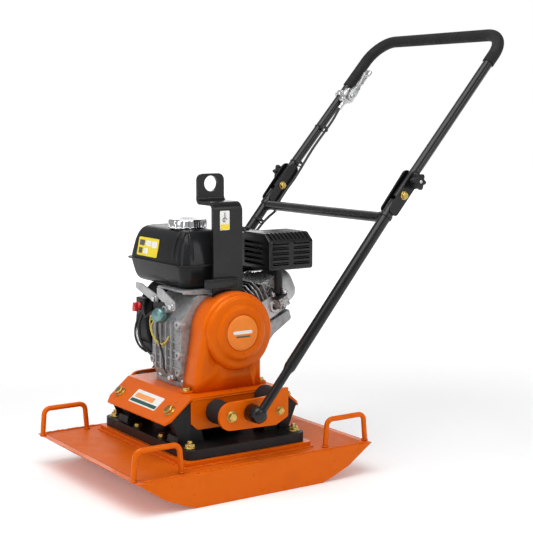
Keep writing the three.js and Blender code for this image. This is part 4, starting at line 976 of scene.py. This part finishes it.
def make_throttle():
    """Die-cast lever housing clamped on the left tube, with its lever and cable adjuster."""
    x = -HANDLE_X
    at = UPPER @ Matrix.Translation((0, THROTTLE_AT, 0))
    ring = turned([(-7, 11.6), (-7, 15), (-5, 16.6), (5, 16.6), (7, 15), (7, 11.6)], (x, 0, 0), (0, 1, 0), 48,
                  ring=True)
    ears = block(x + 8, x + 20, -6, 6, -14, 14, 3)
    shoe = prism(rounded([(-24, -11, 9), (24, -11, 9), (20, 11, 9), (-20, 11, 9)], 6), "x", x + 11.8, x + 26,
                 3)
    drum = turned([(0, 0), (0, 13), (2, 16), (7, 17), (9, 15), (10, 0)], (x + 24, -2, 0), (1, 0, 0), 48)
    barrel = turned([(0, 0), (0, 4.5), (2, 5.5), (8, 5.5), (9, 4.4), (12, 4.4), (13, 5.4), (19, 5.4), (20, 4),
                     (20, 0)], (x + 22, -20, -2), (0, -1, 0), 32)
    body = merged(ring, ears, shoe, drum, barrel)
    piece("throttle_body", moved(body, at), "die_cast", ["throttle_clamp"], angle=36, body="upper_handle")
    screw = hex_bolt((x + 14, 0, 14), (0, 0, 1), 5)
    piece("throttle_clamp_screw", moved(screw, at), "silver_zinc", body="upper_handle")
    start = x + 34.3
    hub = turned([(0, 0), (0, 13), (1, 14), (6, 14), (8, 11), (9, 6), (9, 0)], (start, 0, 0), (1, 0, 0), 48)
    arm = rounded([(-11, -8, 7), (10, -11, 8), (34, -6, 12), (70, -7, 5), (79, 1, 6), (70, 9, 6), (34, 4, 12),
                   (10, 11, 8), (-11, 8, 7)], 6)
    lever = prism(arm, "x", start + 1.5, start + 7.5, 1.4, 2)
    paddle = loft([(start + 3, rectangle(58, -5, 80, 7, 5)), (start + 12, rectangle(60, -4, 79, 7, 5)),
                   (start + 20, rectangle(62, -2, 77, 6, 4)), (start + 21.7, rectangle(64, 0, 75, 4, 2))],
                  "x")
    holes = merged(bar((start - 1, 24, -1), (start + 12, 24, -1), 4.2),
                   bar((start - 1, 42, -1), (start + 12, 42, -1), 3.4))
    piece("throttle_arm", moved(merged(hub, lever, paddle), at), "die_cast",
          ["throttle_lever"], cut=[moved(holes, at)], angle=36, body="throttle_lever")
    nut = hex_bolt((start + 9, 0, 0), (1, 0, 0), 5)
    piece("throttle_pivot_nut", moved(nut, at), "silver_zinc", body="throttle_lever")


def make_cables():
    """Throttle cable in three lengths: on the upper tube, on the lower tube and down to the engine."""
    x = -HANDLE_X + 22
    upper = [UPPER @ Vector(p) for p in ((x, 242.7, -2), (x, 203, -6), (x, 120, -6), (x, 40, -12),
                                         (x, 0.5, -12))]
    lower = [LOWER @ Vector(p) for p in (
        (x, 551.5, -12), (x, 512, -13), (x, 492.6, -19), (x, 442.6, -8), (x, 320, -2), (x, 180, -2),
                                         (x, 140, -2),
        (x, 106, -2))]
    engine = [(x, 65.5, 242.2), (-201.5, 60.5, 232), (-200, 61.5, 221), (-196, 71, 213), (-188, 86, 212),
              (-168, 116, 226), (-145, 143, 262), (-120, 152, 315), (-107.5, 152, 362)]
    whole_upper = eased(upper + lower[1:5], 8)
    cable_piece("throttle_cable_top", whole_upper,
                ["throttle_cable_upper"])
    whole_lower = eased(lower[4:] + engine, 8)
    cable_piece("throttle_cable_bottom", whole_lower,
                ["throttle_cable_lower", "throttle_cable_engine"])
    for i, distance in enumerate((150, 360, 448)):
        tie(f"cable_tie_low_{i}", LOWER, distance, "lower_handle")
    for i, distance in enumerate((70, 180)):
        tie(f"cable_tie_high_{i}", UPPER, distance, "upper_handle")


def cable_piece(name, line, stands_for):
    obj = raw_object(name, swept(line, 3.0, 12))
    smooth(obj, 60)
    material, slot = LOOKS["wire_black"]
    obj.data.materials.append(material)
    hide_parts(*stands_for)
    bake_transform(obj)


def tie(name, place, distance, body):
    """Cable tie round a side tube and the cable, with its head and cut tail."""
    x = -HANDLE_X
    loop = rounded([(x - 12.6, -12.6, 12), (x + 26, -12.6, 8), (x + 26, 6, 8), (x - 12.6, 12.6, 12)], 8)
    line = [Vector((a, distance, b)) for a, b in loop]
    line.append(line[0])
    strap = swept(line, 1.9, 8, squash=0.45)
    head = block(x + 24, x + 29, distance - 3, distance + 3, -3, 3, 0.8, 0.6)
    tail = swept(eased([(x + 26.5, distance, 0), (x + 31, distance + 1, 4), (x + 36, distance + 3, 12)], 5),
                 1.4, 6,
                 squash=0.5)
    piece(name, moved(merged(strap, head, tail), place), "black_shiny", angle=50, body=body)


# ---- engine --------------------------------------------------------------------------------
def rounded_box_levels(x0, x1, y0, y1, levels, corner, steps=8):
    """Loft outlines of a box whose sides are pulled in at each (height, inset, corner loss) level."""
    made = []
    for height, inset, loss in levels:
        radius = max(corner - loss, 4)
        made.append((height, rectangle(x0 + inset, y0 + inset, x1 - inset, y1 - inset, radius, steps)))
    return made


def make_tank():
    low, high = corners("fuel_tank")
    seam = TANK_SEAM
    x0, x1, y0, y1 = low.x + 6, high.x - 6, low.y + 6, high.y - 6
    upper = [(seam - 1, 0, 0), (456, 1.4, 0), (470, 4.0, 0), (486, 7.6, 1), (497, 11.4, 2), (505, 15.5, 4),
             (511, 20.5, 6), (515, 26.5, 8), (517.4, 35, 10), (518, 45, 12)]
    lower = [(seam + 1, 0, 0), (440, 0.8, 0), (426, 3.4, 0), (412, 7, 1), (404.5, 10.5, 3), (400, 15, 5),
             (397.4, 20, 7), (396.1, 27, 9)]
    body = merged(loft(rounded_box_levels(x0, x1, y0, y1, upper, 20)),
                  loft(rounded_box_levels(x0, x1, y0, y1, lower, 20)))
    flange = prism(rectangle(low.x, low.y, high.x, high.y, 22, 10), "z", seam - 1.7, seam + 1.7, 0.8)
    neck = turned([(0, 31), (3, 30), (5, 27), (7, 25), (7, 0)], (*FUEL_CAP, 516.5), (0, 0, 1), 48)
    piece("tank_shell", merged(body, flange), "tank_satin", ["fuel_tank"], angle=50)
    piece("tank_neck", neck, "steel")
    make_tank_ribs(x1, y0)
    lean = (Matrix.Translation((0, y0 - 0.4, seam + 8)) @ Matrix.Rotation(math.radians(-11.5), 4, "X"))
    label = prism(rectangle(-150, 0, -62, 40, 3), "y", 0, 0.9)
    piece("tank_label", moved(label, lean), "label_yellow")
    marks = (("grey", -144, 22, -122, 34), ("white", -116, 22, -94, 34), ("white", -90, 20, -68, 34),
             ("grey", -144, 5, -128, 17), ("white", -122, 5, -104, 17))
    for i, (look, a0, b0, a1, b1) in enumerate(marks):
        mark = prism(rectangle(a0, b0, a1, b1, 1.5), "y", -0.25, 0.4)
        piece(f"tank_label_mark_{i}", moved(mark, lean), f"label_{look}")


def make_tank_ribs(x1, y0):
    """Pressed ribs that run down the tank's front corner on the belt side."""
    def thickness(share):
        return 4.6 * math.sin(math.pi * (0.12 + 0.76 * share)) ** 0.5

    for i, x in enumerate((x1 - 44, x1 - 25)):
        line = [(x - 3, y0 + 24, 513), (x - 1, y0 + 17, 506), (x, y0 + 12, 496), (x, y0 + 8, 482),
                (x, y0 + 5, 468),
                (x, y0 + 3.4, 456)]
        piece(f"tank_rib_{i}", swept(eased(line, 6), thickness, 20), "tank_satin", angle=60)
    y = y0 + 26
    line = [(x1 - 24, y + 3, 513), (x1 - 17, y + 1, 506), (x1 - 12, y, 496), (x1 - 8, y, 482),
            (x1 - 5, y, 468),
            (x1 - 3.4, y, 456)]
    piece("tank_rib_side", swept(eased(line, 6), thickness, 20), "tank_satin", angle=60)


def make_fuel_cap():
    x, y = FUEL_CAP
    flutes, around = 16, 192
    levels = [(518.6, 40.2, 0.2), (519.4, 41, 0.8), (522, 41, 1.5), (532, 40.6, 1.5), (534.5, 40, 1.0),
              (536.2, 38.6, 0.3), (537.4, 36.0, 0.0), (538, 32.5, 0.0), (537.6, 30, 0.0), (536.6, 28.5, 0.0),
              (536.4, 20, 0.0)]
    shapes = []
    for height, radius, depth in levels:
        shape = []
        for i in range(around):
            angle = 2 * math.pi * i / around
            reach = radius - depth * max(0.0, math.cos(flutes * angle)) ** 0.6
            shape.append((x + reach * math.cos(angle), y + reach * math.sin(angle)))
        shapes.append((height, shape))
    piece("fuel_cap_shell", loft(shapes), "chrome", ["fuel_cap"], angle=50, body="fuel_cap")


def make_lifting_bracket():
    profile = rounded([(60, 346), (68, 346), (68, 577, 16), (4, 577, 6), (4, 633), (-4, 633), (-4, 569, 14),
                       (60, 569, 8)], 8)
    strap = raw_object("lifting_strap", prism(profile, "y", -12, 59))
    silhouette = rounded([(-8, 346, 8), (55, 346, 8), (59, 396, 10), (59, 560, 8), (54, 586, 8),
                          (54, 633, 14),
                          (-10, 633, 14), (-10, 586, 8), (-12, 560, 8), (-12, 396, 10)], 6)
    carve(strap, prism(silhouette, "x", -20, 90), operation="INTERSECT")
    carve(strap, bar((-20, 22, 612), (20, 22, 612), 16.5, 64))
    soften(strap, 1.0)
    settle(strap, "machine", "black_gloss", ["lifting_bracket"])
    lip = block(67, 80, -36, 42, 400, 420, 3, 1.2)
    piece("lifting_strap_foot", lip, "black_gloss", angle=40)
    label = prism(rectangle(4, 519, 27, 559, 2), "x", STRAP_FACE, STRAP_FACE + 0.4)
    piece("strap_label", label, "label_white")
    band = prism(rectangle(5, 520, 26, 531, 1.5), "x", STRAP_FACE + 0.3, STRAP_FACE + 0.6)
    piece("strap_label_band", band, "label_yellow")
    x, y, z = STRAP_FACE + 0.7, 15.5, 540
    ring = [Vector((x, y + 4.5 * math.cos(a / 10 * math.pi), z + 4.5 * math.sin(a / 10 * math.pi)))
            for a in range(16)]
    hook = swept([*ring, Vector((x, y, z + 9)), Vector((x, y, z + 15))], 0.9, 8, squash=0.4)
    piece("strap_label_sign", hook, "label_grey", angle=60)
    for i, (y, z) in enumerate(((4, 360), (43, 360))):
        add_bolt(f"strap_bolt_{i}", (STRAP_FACE + 0.1, y, z), (1, 0, 0), 9)


def make_belt_cover():
    """Pressed cover over the belt: an open sheet with a round boss, two tabs and a plain badge."""
    y, z = SHAFT
    radius, front, rear = COVER["radius"], COVER["front"], COVER["rear"]
    back, face = COVER["back"], COVER["face"]
    foot = CONSOLE["top"] + 0.4
    tuck = math.acos((rear - y) / radius)
    arc = []
    for i in range(57):
        angle = -tuck + (math.pi + tuck) * i / 56
        arc.append(Vector((y + radius * math.cos(angle), z + radius * math.sin(angle))))
    outline = [Vector((front, foot - 40)), Vector((rear, foot - 40)), *arc, Vector((front + 4, 215)),
               Vector((front, foot))]
    sheet = prism(outline, "x", 11, face, 11, 6)
    plane_face = max(sheet.faces, key=lambda f: f.calc_center_median().x)
    rim = plane_face.edges[:]
    bmesh.ops.delete(sheet, geom=[plane_face], context="FACES_ONLY")
    hole = [sheet.verts.new((face, *p)) for p in circle(y, z + 2, COVER["hole"], 96)]
    rim += [sheet.edges.new((a, b)) for a, b in zip(hole, hole[1:] + hole[:1])]
    bmesh.ops.triangle_fill(sheet, edges=rim, use_beauty=True)
    for plane, facing in (((back, 0, 0), (-1, 0, 0)), ((0, 0, foot), (0, 0, -1))):
        parts = sheet.verts[:] + sheet.edges[:] + sheet.faces[:]
        bmesh.ops.bisect_plane(sheet, geom=parts, plane_co=plane, plane_no=facing, clear_outer=True)
    notch_for_strap(sheet)
    bmesh.ops.recalc_face_normals(sheet, faces=sheet.faces[:])
    cover = raw_object("belt_cover_shell", sheet)
    walls = cover.modifiers.new("wall", "SOLIDIFY")
    walls.thickness = 3 * MM
    walls.offset = -1
    smooth(cover, 34)
    settle(cover, "machine", "orange_gloss", ["belt_cover"])
    profile = [(100, 78), (105.5, 78), (108, 77.4), (110.6, 75.8), (112.6, 73.6), (113.6, 71), (114, 68),
               (114, 60.4),
               (114.5, 58.8), (116.4, 55.8), (117.6, 54.2), (118.6, 52), (119, 49), (119, 40), (118.6, 39),
               (117.6, 38.4), (117.6, 0), (114.6, 0), (114.6, 49), (111, 54), (110.4, 66), (100, 67)]
    boss = turned(profile, (0, y, z + 2), (1, 0, 0), 96, ring=True)
    piece("belt_cover_boss", boss, "orange_gloss", angle=30)
    tabs = merged(block(70, 96, front - 18, front + 4, foot - 0.1, foot + 3.9, 6),
                  block(70, 96, rear - 4, rear + 18, foot - 0.1, foot + 3.9, 6))
    piece("belt_cover_tabs", tabs, "orange_gloss", soft=0.8)
    for i, spot in enumerate(((83, front - 8), (83, rear + 9))):
        add_bolt(f"belt_cover_bolt_{i}", (*spot, foot + 4), (0, 0, 1), 8)
    badge = turned([(117.5, 0), (117.5, 36.6), (118.9, 36.6), (119.6, 35.8), (119.9, 30), (120, 0)],
                   (0, y, z + 2), (1, 0, 0), 96)
    piece("cover_badge", badge, "badge_orange", angle=50)
    piece("cover_badge_bar", prism(rectangle(y - 23, z, y + 23, z + 7, 3), "x", 119.7, 120.25), "label_white")
    piece("cover_badge_line", prism(rectangle(y - 16, z - 7, y + 18, z - 4, 1.4), "x", 119.7, 120.25),
          "label_green")


def notch_for_strap(sheet):
    """Opens the top of the sheet where the lifting strap passes down behind it."""
    cuts = (((70, 0, 0), (1, 0, 0)), ((0, -16, 0), (0, 1, 0)), ((0, 63, 0), (0, 1, 0)))
    for plane, facing in cuts:
        parts = sheet.verts[:] + sheet.edges[:] + sheet.faces[:]
        bmesh.ops.bisect_plane(sheet, geom=parts, plane_co=plane, plane_no=facing)
    doomed = []
    for one in sheet.faces:
        middle = one.calc_center_median()
        if middle.x < 70 and -16 < middle.y < 63 and middle.z > 340:
            doomed.append(one)
    bmesh.ops.delete(sheet, geom=doomed, context="FACES")


def make_fan_housing():
    """Blower housing with its flat top, the recoil starter cover and the switch."""
    drum = turned([(-76, 0), (-76, 112), (-82, 113.4), (-86, 113.8), (-90, 112), (-134, 109.5), (-144, 107),
                   (-149, 102), (-150, 98), (-150, 0)], (0, *SHAFT), (1, 0, 0), 96)
    housing = raw_object("blower_housing", drum)
    inner = turned([(-80.5, 0), (-80.5, 109), (-140, 104), (-147, 98), (-147, 0)], (0, *SHAFT), (1, 0, 0), 96)
    y, z = SHAFT
    carve(housing, inner)
    carve(housing, block(-190, 40, -300, 300, z + 84, z + 200),
          bar((-175, y, z), (-120, y, z), 72, 64))
    smooth(housing, 34)
    settle(housing, "machine", "black_blower", ["fan_housing"])
    lid = block(-146, -78, y - 68, y + 68, z + 80, z + 84, 8)
    duct = merged(block(-118, -76.4, y + 56, y + 104, z + 26, z + 94, 8, 2), lid)
    piece("blower_duct", duct, "black_shiny", soft=1.2)
    pod = block(-136, -100, y - 112, y - 97, z + 20, z + 56, 5, 2)
    piece("switch_housing", pod, "black_moulded", angle=40)
    for i in range(4):
        angle = math.radians(45 + 90 * i)
        at = (-150.1, y + 94 * math.cos(angle), z + 94 * math.sin(angle))
        if at[2] < z + 78:
            add_bolt(f"recoil_screw_{i}", at, (-1, 0, 0), 6, "silver_zinc", 0.2)
    for i in range(5):
        angle = math.radians(200 + 14 * i)
        at = Vector((-110, y + 112 * math.cos(angle), z + 112 * math.sin(angle)))
        rib = bar(at + Vector((-22, 0, 0)), at + Vector((22, 0, 0)), 1.6, 12)
        piece(f"blower_rib_{i}", rib, "black_blower", angle=60)
    make_recoil_cover()


def make_recoil_cover():
    y, z = SHAFT
    cup = turned([(-150.3, 0), (-150.3, 84), (-156, 84), (-158.4, 81), (-160, 78.4), (-178, 72.4), (-184, 69),
                  (-188, 64.5), (-190, 59), (-190, 30), (-188, 27), (-188, 0)], (0, y, z), (1, 0, 0), 96)
    cover = raw_object("recoil_cup", cup)
    inner = turned([(-149, 0), (-149, 75), (-157, 75), (-176, 69), (-187, 58), (-187, 29), (-185, 26),
                    (-185, 0)],
                   (0, y, z), (1, 0, 0), 96)
    slots = []
    for i in range(12):
        slot = prism(rounded([(35, -4, 3.9), (61, -6, 5), (61, 6, 5), (35, 4, 3.9)], 5), "x", -200, -180)
        slots.append(moved(slot, ENGINE @ Matrix.Rotation(math.radians(30 * i), 4, "X")))
    rope = Vector((-168, y + 56, z + 63))
    along = Vector((0, 0.6, 0.8))
    carve(cover, inner)
    carve(cover, merged(*slots))
    guide = turned([(-14, 10), (8, 9), (12, 8), (13, 6), (13, 3.8), (-14, 3.8)], rope, along, 40, ring=True)
    carve(cover, turned([(-60, 0), (-60, 3.7), (20, 3.7), (20, 0)], rope, along, 24))
    smooth(cover, 34)
    settle(cover, "machine", "black_moulded", ["recoil_cover"])
    piece("rope_guide", guide, "black_shiny", angle=40)
    cross = along.cross(Vector((1, 0, 0))).normalized()
    middle = rope + along * 28
    handle = swept([middle - cross * 34, middle - cross * 32, middle - cross * 20, middle,
                    middle + cross * 20,
                    middle + cross * 32, middle + cross * 34],
                   lambda t: 7.0 + 3.6 * abs(2 * t - 1) if 0.02 < t < 0.98 else 7.5, 28)
    neck = turned([(13, 0), (13, 5), (16, 7.5), (24, 8.5), (24, 0)], rope, along, 32)
    piece("starter_handle", merged(handle, neck), "black_moulded", ["starter_grip"], angle=50,
          body="starter_grip")
    cord = bar(rope - along * 150, rope + along * 14, 2.2, 12)
    piece("starter_rope", cord, "wire_black", angle=60, body="starter_grip")


def make_crankcase():
    """Crankcase casting with its ribs, bosses, screws and the parts bolted to its front."""
    keep_node("crankcase", "cast", 1.0)
    front = CRANKCASE_FRONT
    ribs = []
    for z in (232, 250, 268, 286):
        ribs.append(block(-68, 44, front - 3, front + 6, z, z + 3.5, 0, 0))
    piece("crankcase_cross_ribs", merged(*ribs), "cast", soft=1.0)
    for i, (x, z) in enumerate(((-64, 330), (42, 326), (42, 262), (42, 226), (-64, 240), (-10, 352))):
        boss = turned([(-10, 0), (-10, 9), (2, 8.4), (6.2, 8), (6.2, 3.4), (2, 3.2), (2, 0)], (x, front, z),
                      (0, -1, 0), 32)
        piece(f"crankcase_boss_{i}", boss, "cast", angle=40)
    plug = merged(turned([(-4, 0), (-4, 8.5), (3, 8), (4, 7), (4, 0)], (12, front, 211), (0, -1, 0), 36),
                  hex_bolt((12, front - 4, 211), (0, -1, 0), 6))
    piece("drain_plug", plug, "silver_zinc", soft=0.25)
    for i, (x, y) in enumerate(((-58, -66), (38, -66), (-58, 102), (38, 102))):
        add_bolt(f"engine_bolt_{i}", (x, y, 203.6), (0, 0, 1), 8, "silver_zinc", 0.25)
    make_oil_alert_unit()


def make_oil_alert_unit():
    """Round oil alert unit with its bracket and the loose wires in front of the crankcase."""
    at = Vector((-18, -90, 339))
    can = turned([(-8, 0), (-8, 13), (-4, 15.4), (8, 15.6), (12, 14), (14, 10.5), (14.6, 0)], at,
                 (0.35, -1, 0.1), 48)
    piece("oil_alert_unit", can, "teal", angle=40)
    tab = prism(rounded([(-52, 338, 4), (-10, 352, 6), (-6, 368, 5), (-58, 362, 6)], 4), "y", -86, -83)
    piece("alert_bracket", tab, "black_cast", soft=0.6)
    wires = (
        ("yellow", [(-28, -98, 330), (-36, -102, 316), (-34, -100, 298), (-22, -98, 286), (0, -97, 282),
                    (14, -96, 288),
                    (20, -92, 300)], 1.5),
        ("yellow", [(-30, -96, 342), (-44, -100, 330), (-46, -98, 306), (-40, -94, 288), (-22, -94, 278),
                    (2, -94, 276)], 1.4),
        ("black", [(-14, -100, 326), (-8, -104, 312), (-10, -100, 292), (-2, -98, 270), (8, -98, 250),
                   (6, -96, 232),
                   (14, -94, 222)], 2.2),
        ("black", [(-96, -86, 356), (-84, -96, 346), (-70, -98, 330), (-58, -96, 336), (-40, -94, 346)], 2.4),
        ("black", [(-104, -86, 332), (-98, -98, 312), (-90, -102, 290), (-84, -98, 268), (-76, -88, 256)],
         3.4),
        ("black", [(-112, -86, 332), (-112, -98, 308), (-104, -104, 284), (-94, -100, 264), (-80, -90, 252)],
         2.4))
    for i, (colour, points, radius) in enumerate(wires):
        piece(f"engine_wire_{i}", swept(eased(points, 8), radius, 12), f"wire_{colour}", angle=60)
    clip = turned([(-3, 2.6), (-3, 4.4), (3, 4.4), (3, 2.6)], (6, -96, 283), (1, 0, 0.2), 24, ring=True)
    piece("wire_clip", clip, "zinc", angle=40)
    sleeve = swept(eased([(-100, -99, 300), (-96, -102, 290), (-90, -101, 276)], 6), 4.6, 16)
    piece("wire_sleeve", sleeve, "silver_zinc", angle=50)


def make_switch():
    at = Vector((-118, SHAFT[0] - 112.3, SHAFT[1] + 38))
    hub = turned([(0, 0), (0, 9), (4, 9), (6, 7.6), (7, 5), (7, 0)], at, (0, -1, 0), 40)
    lever = prism(rounded([(-126, 334, 4), (-110, 336, 4), (-113.6, 354.6, 3), (-122.4, 354.6, 3)], 5), "y",
                  at.y - 14.6, at.y - 5.5, 1.8)
    piece("switch_knob", merged(hub, lever), "red", ["engine_switch"], angle=40, body="engine_switch")


def make_cylinder():
    # cast_dark paints the shade between the fins dark and their lit edges pale.
    keep_node("cylinder", "cast_dark", 0.5)
    keep_node("cylinder_head", "cast_dark", 0.5)
    keep_node("carburettor", "cast", 0.7)
    dome = [(165, 0, 0), (168, 0, 0), (168.4, 3, 1), (192, 5, 2), (202, 8, 4), (208.5, 13, 7),
            (211.6, 20, 11),
            (212, 28, 16)]
    levels = []
    for height, inset, loss in dome:
        shape = rectangle(-55 + inset, -47 + inset, 39 - inset, 37 - inset, 26 - loss, 8)
        levels.append((height, shape))
    piece("valve_cover", moved(loft(levels, "y"), TILTED), "cast_light", ["rocker_cover"],
          angle=40)
    for i, (x, z) in enumerate(((-44, -37), (28, -37), (28, 27), (-44, 27))):
        add_bolt(f"valve_cover_bolt_{i}", (x, 168.4, z), (0, 1, 0), 5.5, "silver_zinc", 0.2, TILTED)
    plate = prism(rounded([(60, -38, 4), (128, -38, 4), (158, -30, 8), (150, 4, 8), (60, 6, 4)], 5), "x",
                  45.2, 50)
    hole = bar((40, 128, -18), (60, 128, -18), 7, 32)
    piece("cylinder_shroud", moved(plate, TILTED), "cast_light", cut=[moved(hole, TILTED)],
          soft=0.8)
    boss = turned([(0, 7.2), (0, 13), (5, 12.4), (6, 11.4), (6, 7.2)], (50, 128, -18), (1, 0, 0), 40,
                  ring=True)
    piece("shroud_boss", moved(boss, TILTED), "cast_light", angle=40)
    make_spark_plug()


def make_spark_plug():
    start = Vector((-20, 166, -36))
    line = eased([(-20, 160, -34), (-20, 176, -48), (-26, 184, -66), (-50, 170, -84), (-80, 120, -74)], 8)
    lead = swept(line, 3.4, 16)
    cap = swept([start + Vector((0, 2, 2)), start + Vector((0, 12, -10))], 9, 24)
    piece("spark_plug_lead", moved(merged(lead, cap), TILTED), "wire_black", angle=50)


def make_muffler():
    keep_node("muffler", "black_cast", 1.0)
    guard_low, guard_high = corners("muffler_guard")
    left, right, front, rear = guard_low.x, guard_high.x, guard_low.y, guard_high.y
    bottom, top = guard_low.z, guard_high.z

    def section(inset):
        return rounded([(left + inset, bottom + inset, 6), (right - inset, bottom + inset, 6),
                        (right - inset, top - inset - 17, 8), (right - 20 - inset * 0.4, top - inset, 9),
                        (left + 20 + inset * 0.4, top - inset, 9), (left + inset, top - inset - 17, 8)], 6)

    guard = raw_object("heat_guard", prism(section(0), "y", front, rear, 3, 3))
    carve(guard, prism(section(2), "y", front + 2, rear - 2))
    def slit(start, stop, z, along, low, high):
        return prism(rectangle(start, z, stop, z + 5.4, 2.6, 4), along, low, high)

    slots = []
    middle = (front + rear) / 2
    for row in range(5):
        z = bottom + 11 + row * 11
        for start, stop in ((front + 9, middle - 6), (middle + 6, rear - 9)):
            slots.append(slit(start, stop, z, "x", right - 5, right + 4))
        slots.append(slit(left + 24, right - 24, z, "y", front - 4, front + 5))
        slots.append(slit(left + 34, right - 34, z, "y", rear - 5, rear + 4))
    count = 10
    for i in range(count):
        y = front + 9 + i * (rear - front - 22) / (count - 1)
        slot = prism(rounded([(right - 24, -3, 2), (right - 4, 0, 2), (right - 4, 3.6, 2),
                              (right - 24, 0.6, 2)], 3),
                     "z", top - 24, top + 4)
        slots.append(moved(slot, Matrix.Translation((0, y, 0))))
    carve(guard, merged(*slots), bar((57.5, 156.6, bottom - 8), (57.5, 156.6, bottom + 8), 12, 32),
          bar((4, rear - 8, 462), (4, rear + 8, 462), 18, 40))
    smooth(guard, 34)
    settle(guard, "machine", "black_gloss", ["muffler_guard"])
    make_guard_louvres(right, front, rear, bottom)
    for i, (x, y) in enumerate(((52, 136), (71, 154))):
        add_bolt(f"exhaust_nut_{i}", (x, y, 5.2), (0, 0, 1), 6, "silver_zinc", 0.2, TILTED, stud=5)
    dome = turned([(0, 0), (0, 24), (6, 23), (12, 18), (15, 10), (16, 0)], (4, rear + 0.2, 462), (0, 1, 0),
                  48)
    hole = bar((4, rear - 2, 462), (4, rear + 12, 462), 16.5, 40)
    piece("outlet_dome", dome, "steel_hot", cut=[hole], angle=36)


def make_guard_louvres(right, front, rear, bottom):
    """Pressed lips over the side slots."""
    middle = (front + rear) / 2
    lips = []
    for row in range(5):
        z = bottom + 16.4 + row * 11
        for a, b in ((front + 9, middle - 6), (middle + 6, rear - 9)):
            shape = rounded([(right - 1.2, z - 0.2), (right + 3.2, z - 2.6, 0.8), (right + 3.8, z - 1.2, 0.8),
                             (right - 1.0, z + 2.0)], 3)
            lips.append(prism(shape, "y", a + 1.5, b - 1.5))
    piece("guard_louvres", merged(*lips), "black_gloss", soft=0.3)


def make_air_cleaner():
    low, high = corners("air_cleaner")
    base = loft(rounded_box_levels(low.x + 4, high.x - 4, low.y + 4, high.y - 4,
                                   [(low.z, 4, 2), (low.z + 3, 0, 0), (478, 0, 0)], 12))
    cover = loft(rounded_box_levels(low.x, high.x, low.y, high.y,
                                    [(435, 1, 0), (436, 0, 0), (478, 1.5, 0), (487, 4, 1), (493, 8.5, 4),
                                     (496, 14, 8), (497, 21, 12)], 16))
    piece("air_cleaner_case", merged(base, cover), "black_shiny", ["air_cleaner"], angle=40)
    ribs = []
    for z in (442, 452, 462):
        ribs.append(prism(rectangle(low.x - 0.3, low.y - 0.3, high.x + 0.3, high.y + 0.3, 16, 8), "z", z,
                          z + 2.4))
    piece("air_cleaner_ribs", merged(*ribs), "black_shiny", soft=0.5)
    x, y = (low.x + high.x) / 2, (low.y + high.y) / 2
    nut = merged(turned([(0, 0), (0, 9), (2, 9), (4, 7), (8, 6), (8, 0)], (x, y, 496.6), (0, 0, 1), 40),
                 prism(rounded([(x - 17, 499, 3), (x + 17, 499, 3), (x + 15, 505, 3), (x - 15, 505, 3)], 4),
                       "y",
                       y - 1.8, y + 1.8))
    piece("air_cleaner_nut", nut, "black_moulded", soft=0.5)


def make_fittings():
    """Tank brackets with their bolts, crossbar sticker and what stays hidden inside."""
    keep_node("tank_bracket", "cast", 0.8)
    stays = ([(-144, 395, 3), (-118, 395, 4), (-46, 377, 5), (-46, 360, 5), (-66, 362, 5), (-142, 382, 5)],
             [(-42, 395, 3), (-22, 394, 4), (30, 372, 5), (32, 352, 5), (12, 354, 5), (-42, 376, 4)])
    for i, points in enumerate(stays):
        stay = prism(rounded(points, 4), "y", -82 - 3 * i, -78.5 - 3 * i)
        piece(f"tank_stay_{i}", stay, "cast_light", soft=0.6)
        x, z, _ = points[3]
        add_bolt(f"tank_stay_bolt_{i}", (x - 11, -82.1 - 3 * i, z + 9), (0, -1, 0), 7, "silver_zinc", 0.2)
    sticker = []
    for a in range(9):
        angle = math.radians(200 + 12.5 * a)
        sticker.append((CROSSBAR_AT + 11.15 * math.cos(angle), 11.15 * math.sin(angle)))
    for i, (x0, x1, look) in enumerate(((-38, 22, "label_pale"), (26, 52, "label_white"))):
        inner = [(a + (CROSSBAR_AT - a) * 0.06, b * 0.94) for a, b in reversed(sticker)]
        piece(f"crossbar_sticker_{i}", moved(prism(sticker + inner, "x", x0, x1), LOWER), look,
              angle=50, body="lower_handle")
    hidden = {"crankshaft": "steel", "flywheel": "cast", "clutch_drum": "steel", "v_belt": "rubber"}
    for name, look in hidden.items():
        keep_node(name, look)


make_base()
make_exciter()
make_console()
make_isolators()
make_brackets()
make_lower_handle()
make_upper_handle()
make_throttle()
make_cables()
make_tank()
make_fuel_cap()
make_lifting_bracket()
make_belt_cover()
make_fan_housing()
make_crankcase()
make_switch()
make_cylinder()
make_muffler()
make_air_cleaner()
make_fittings()
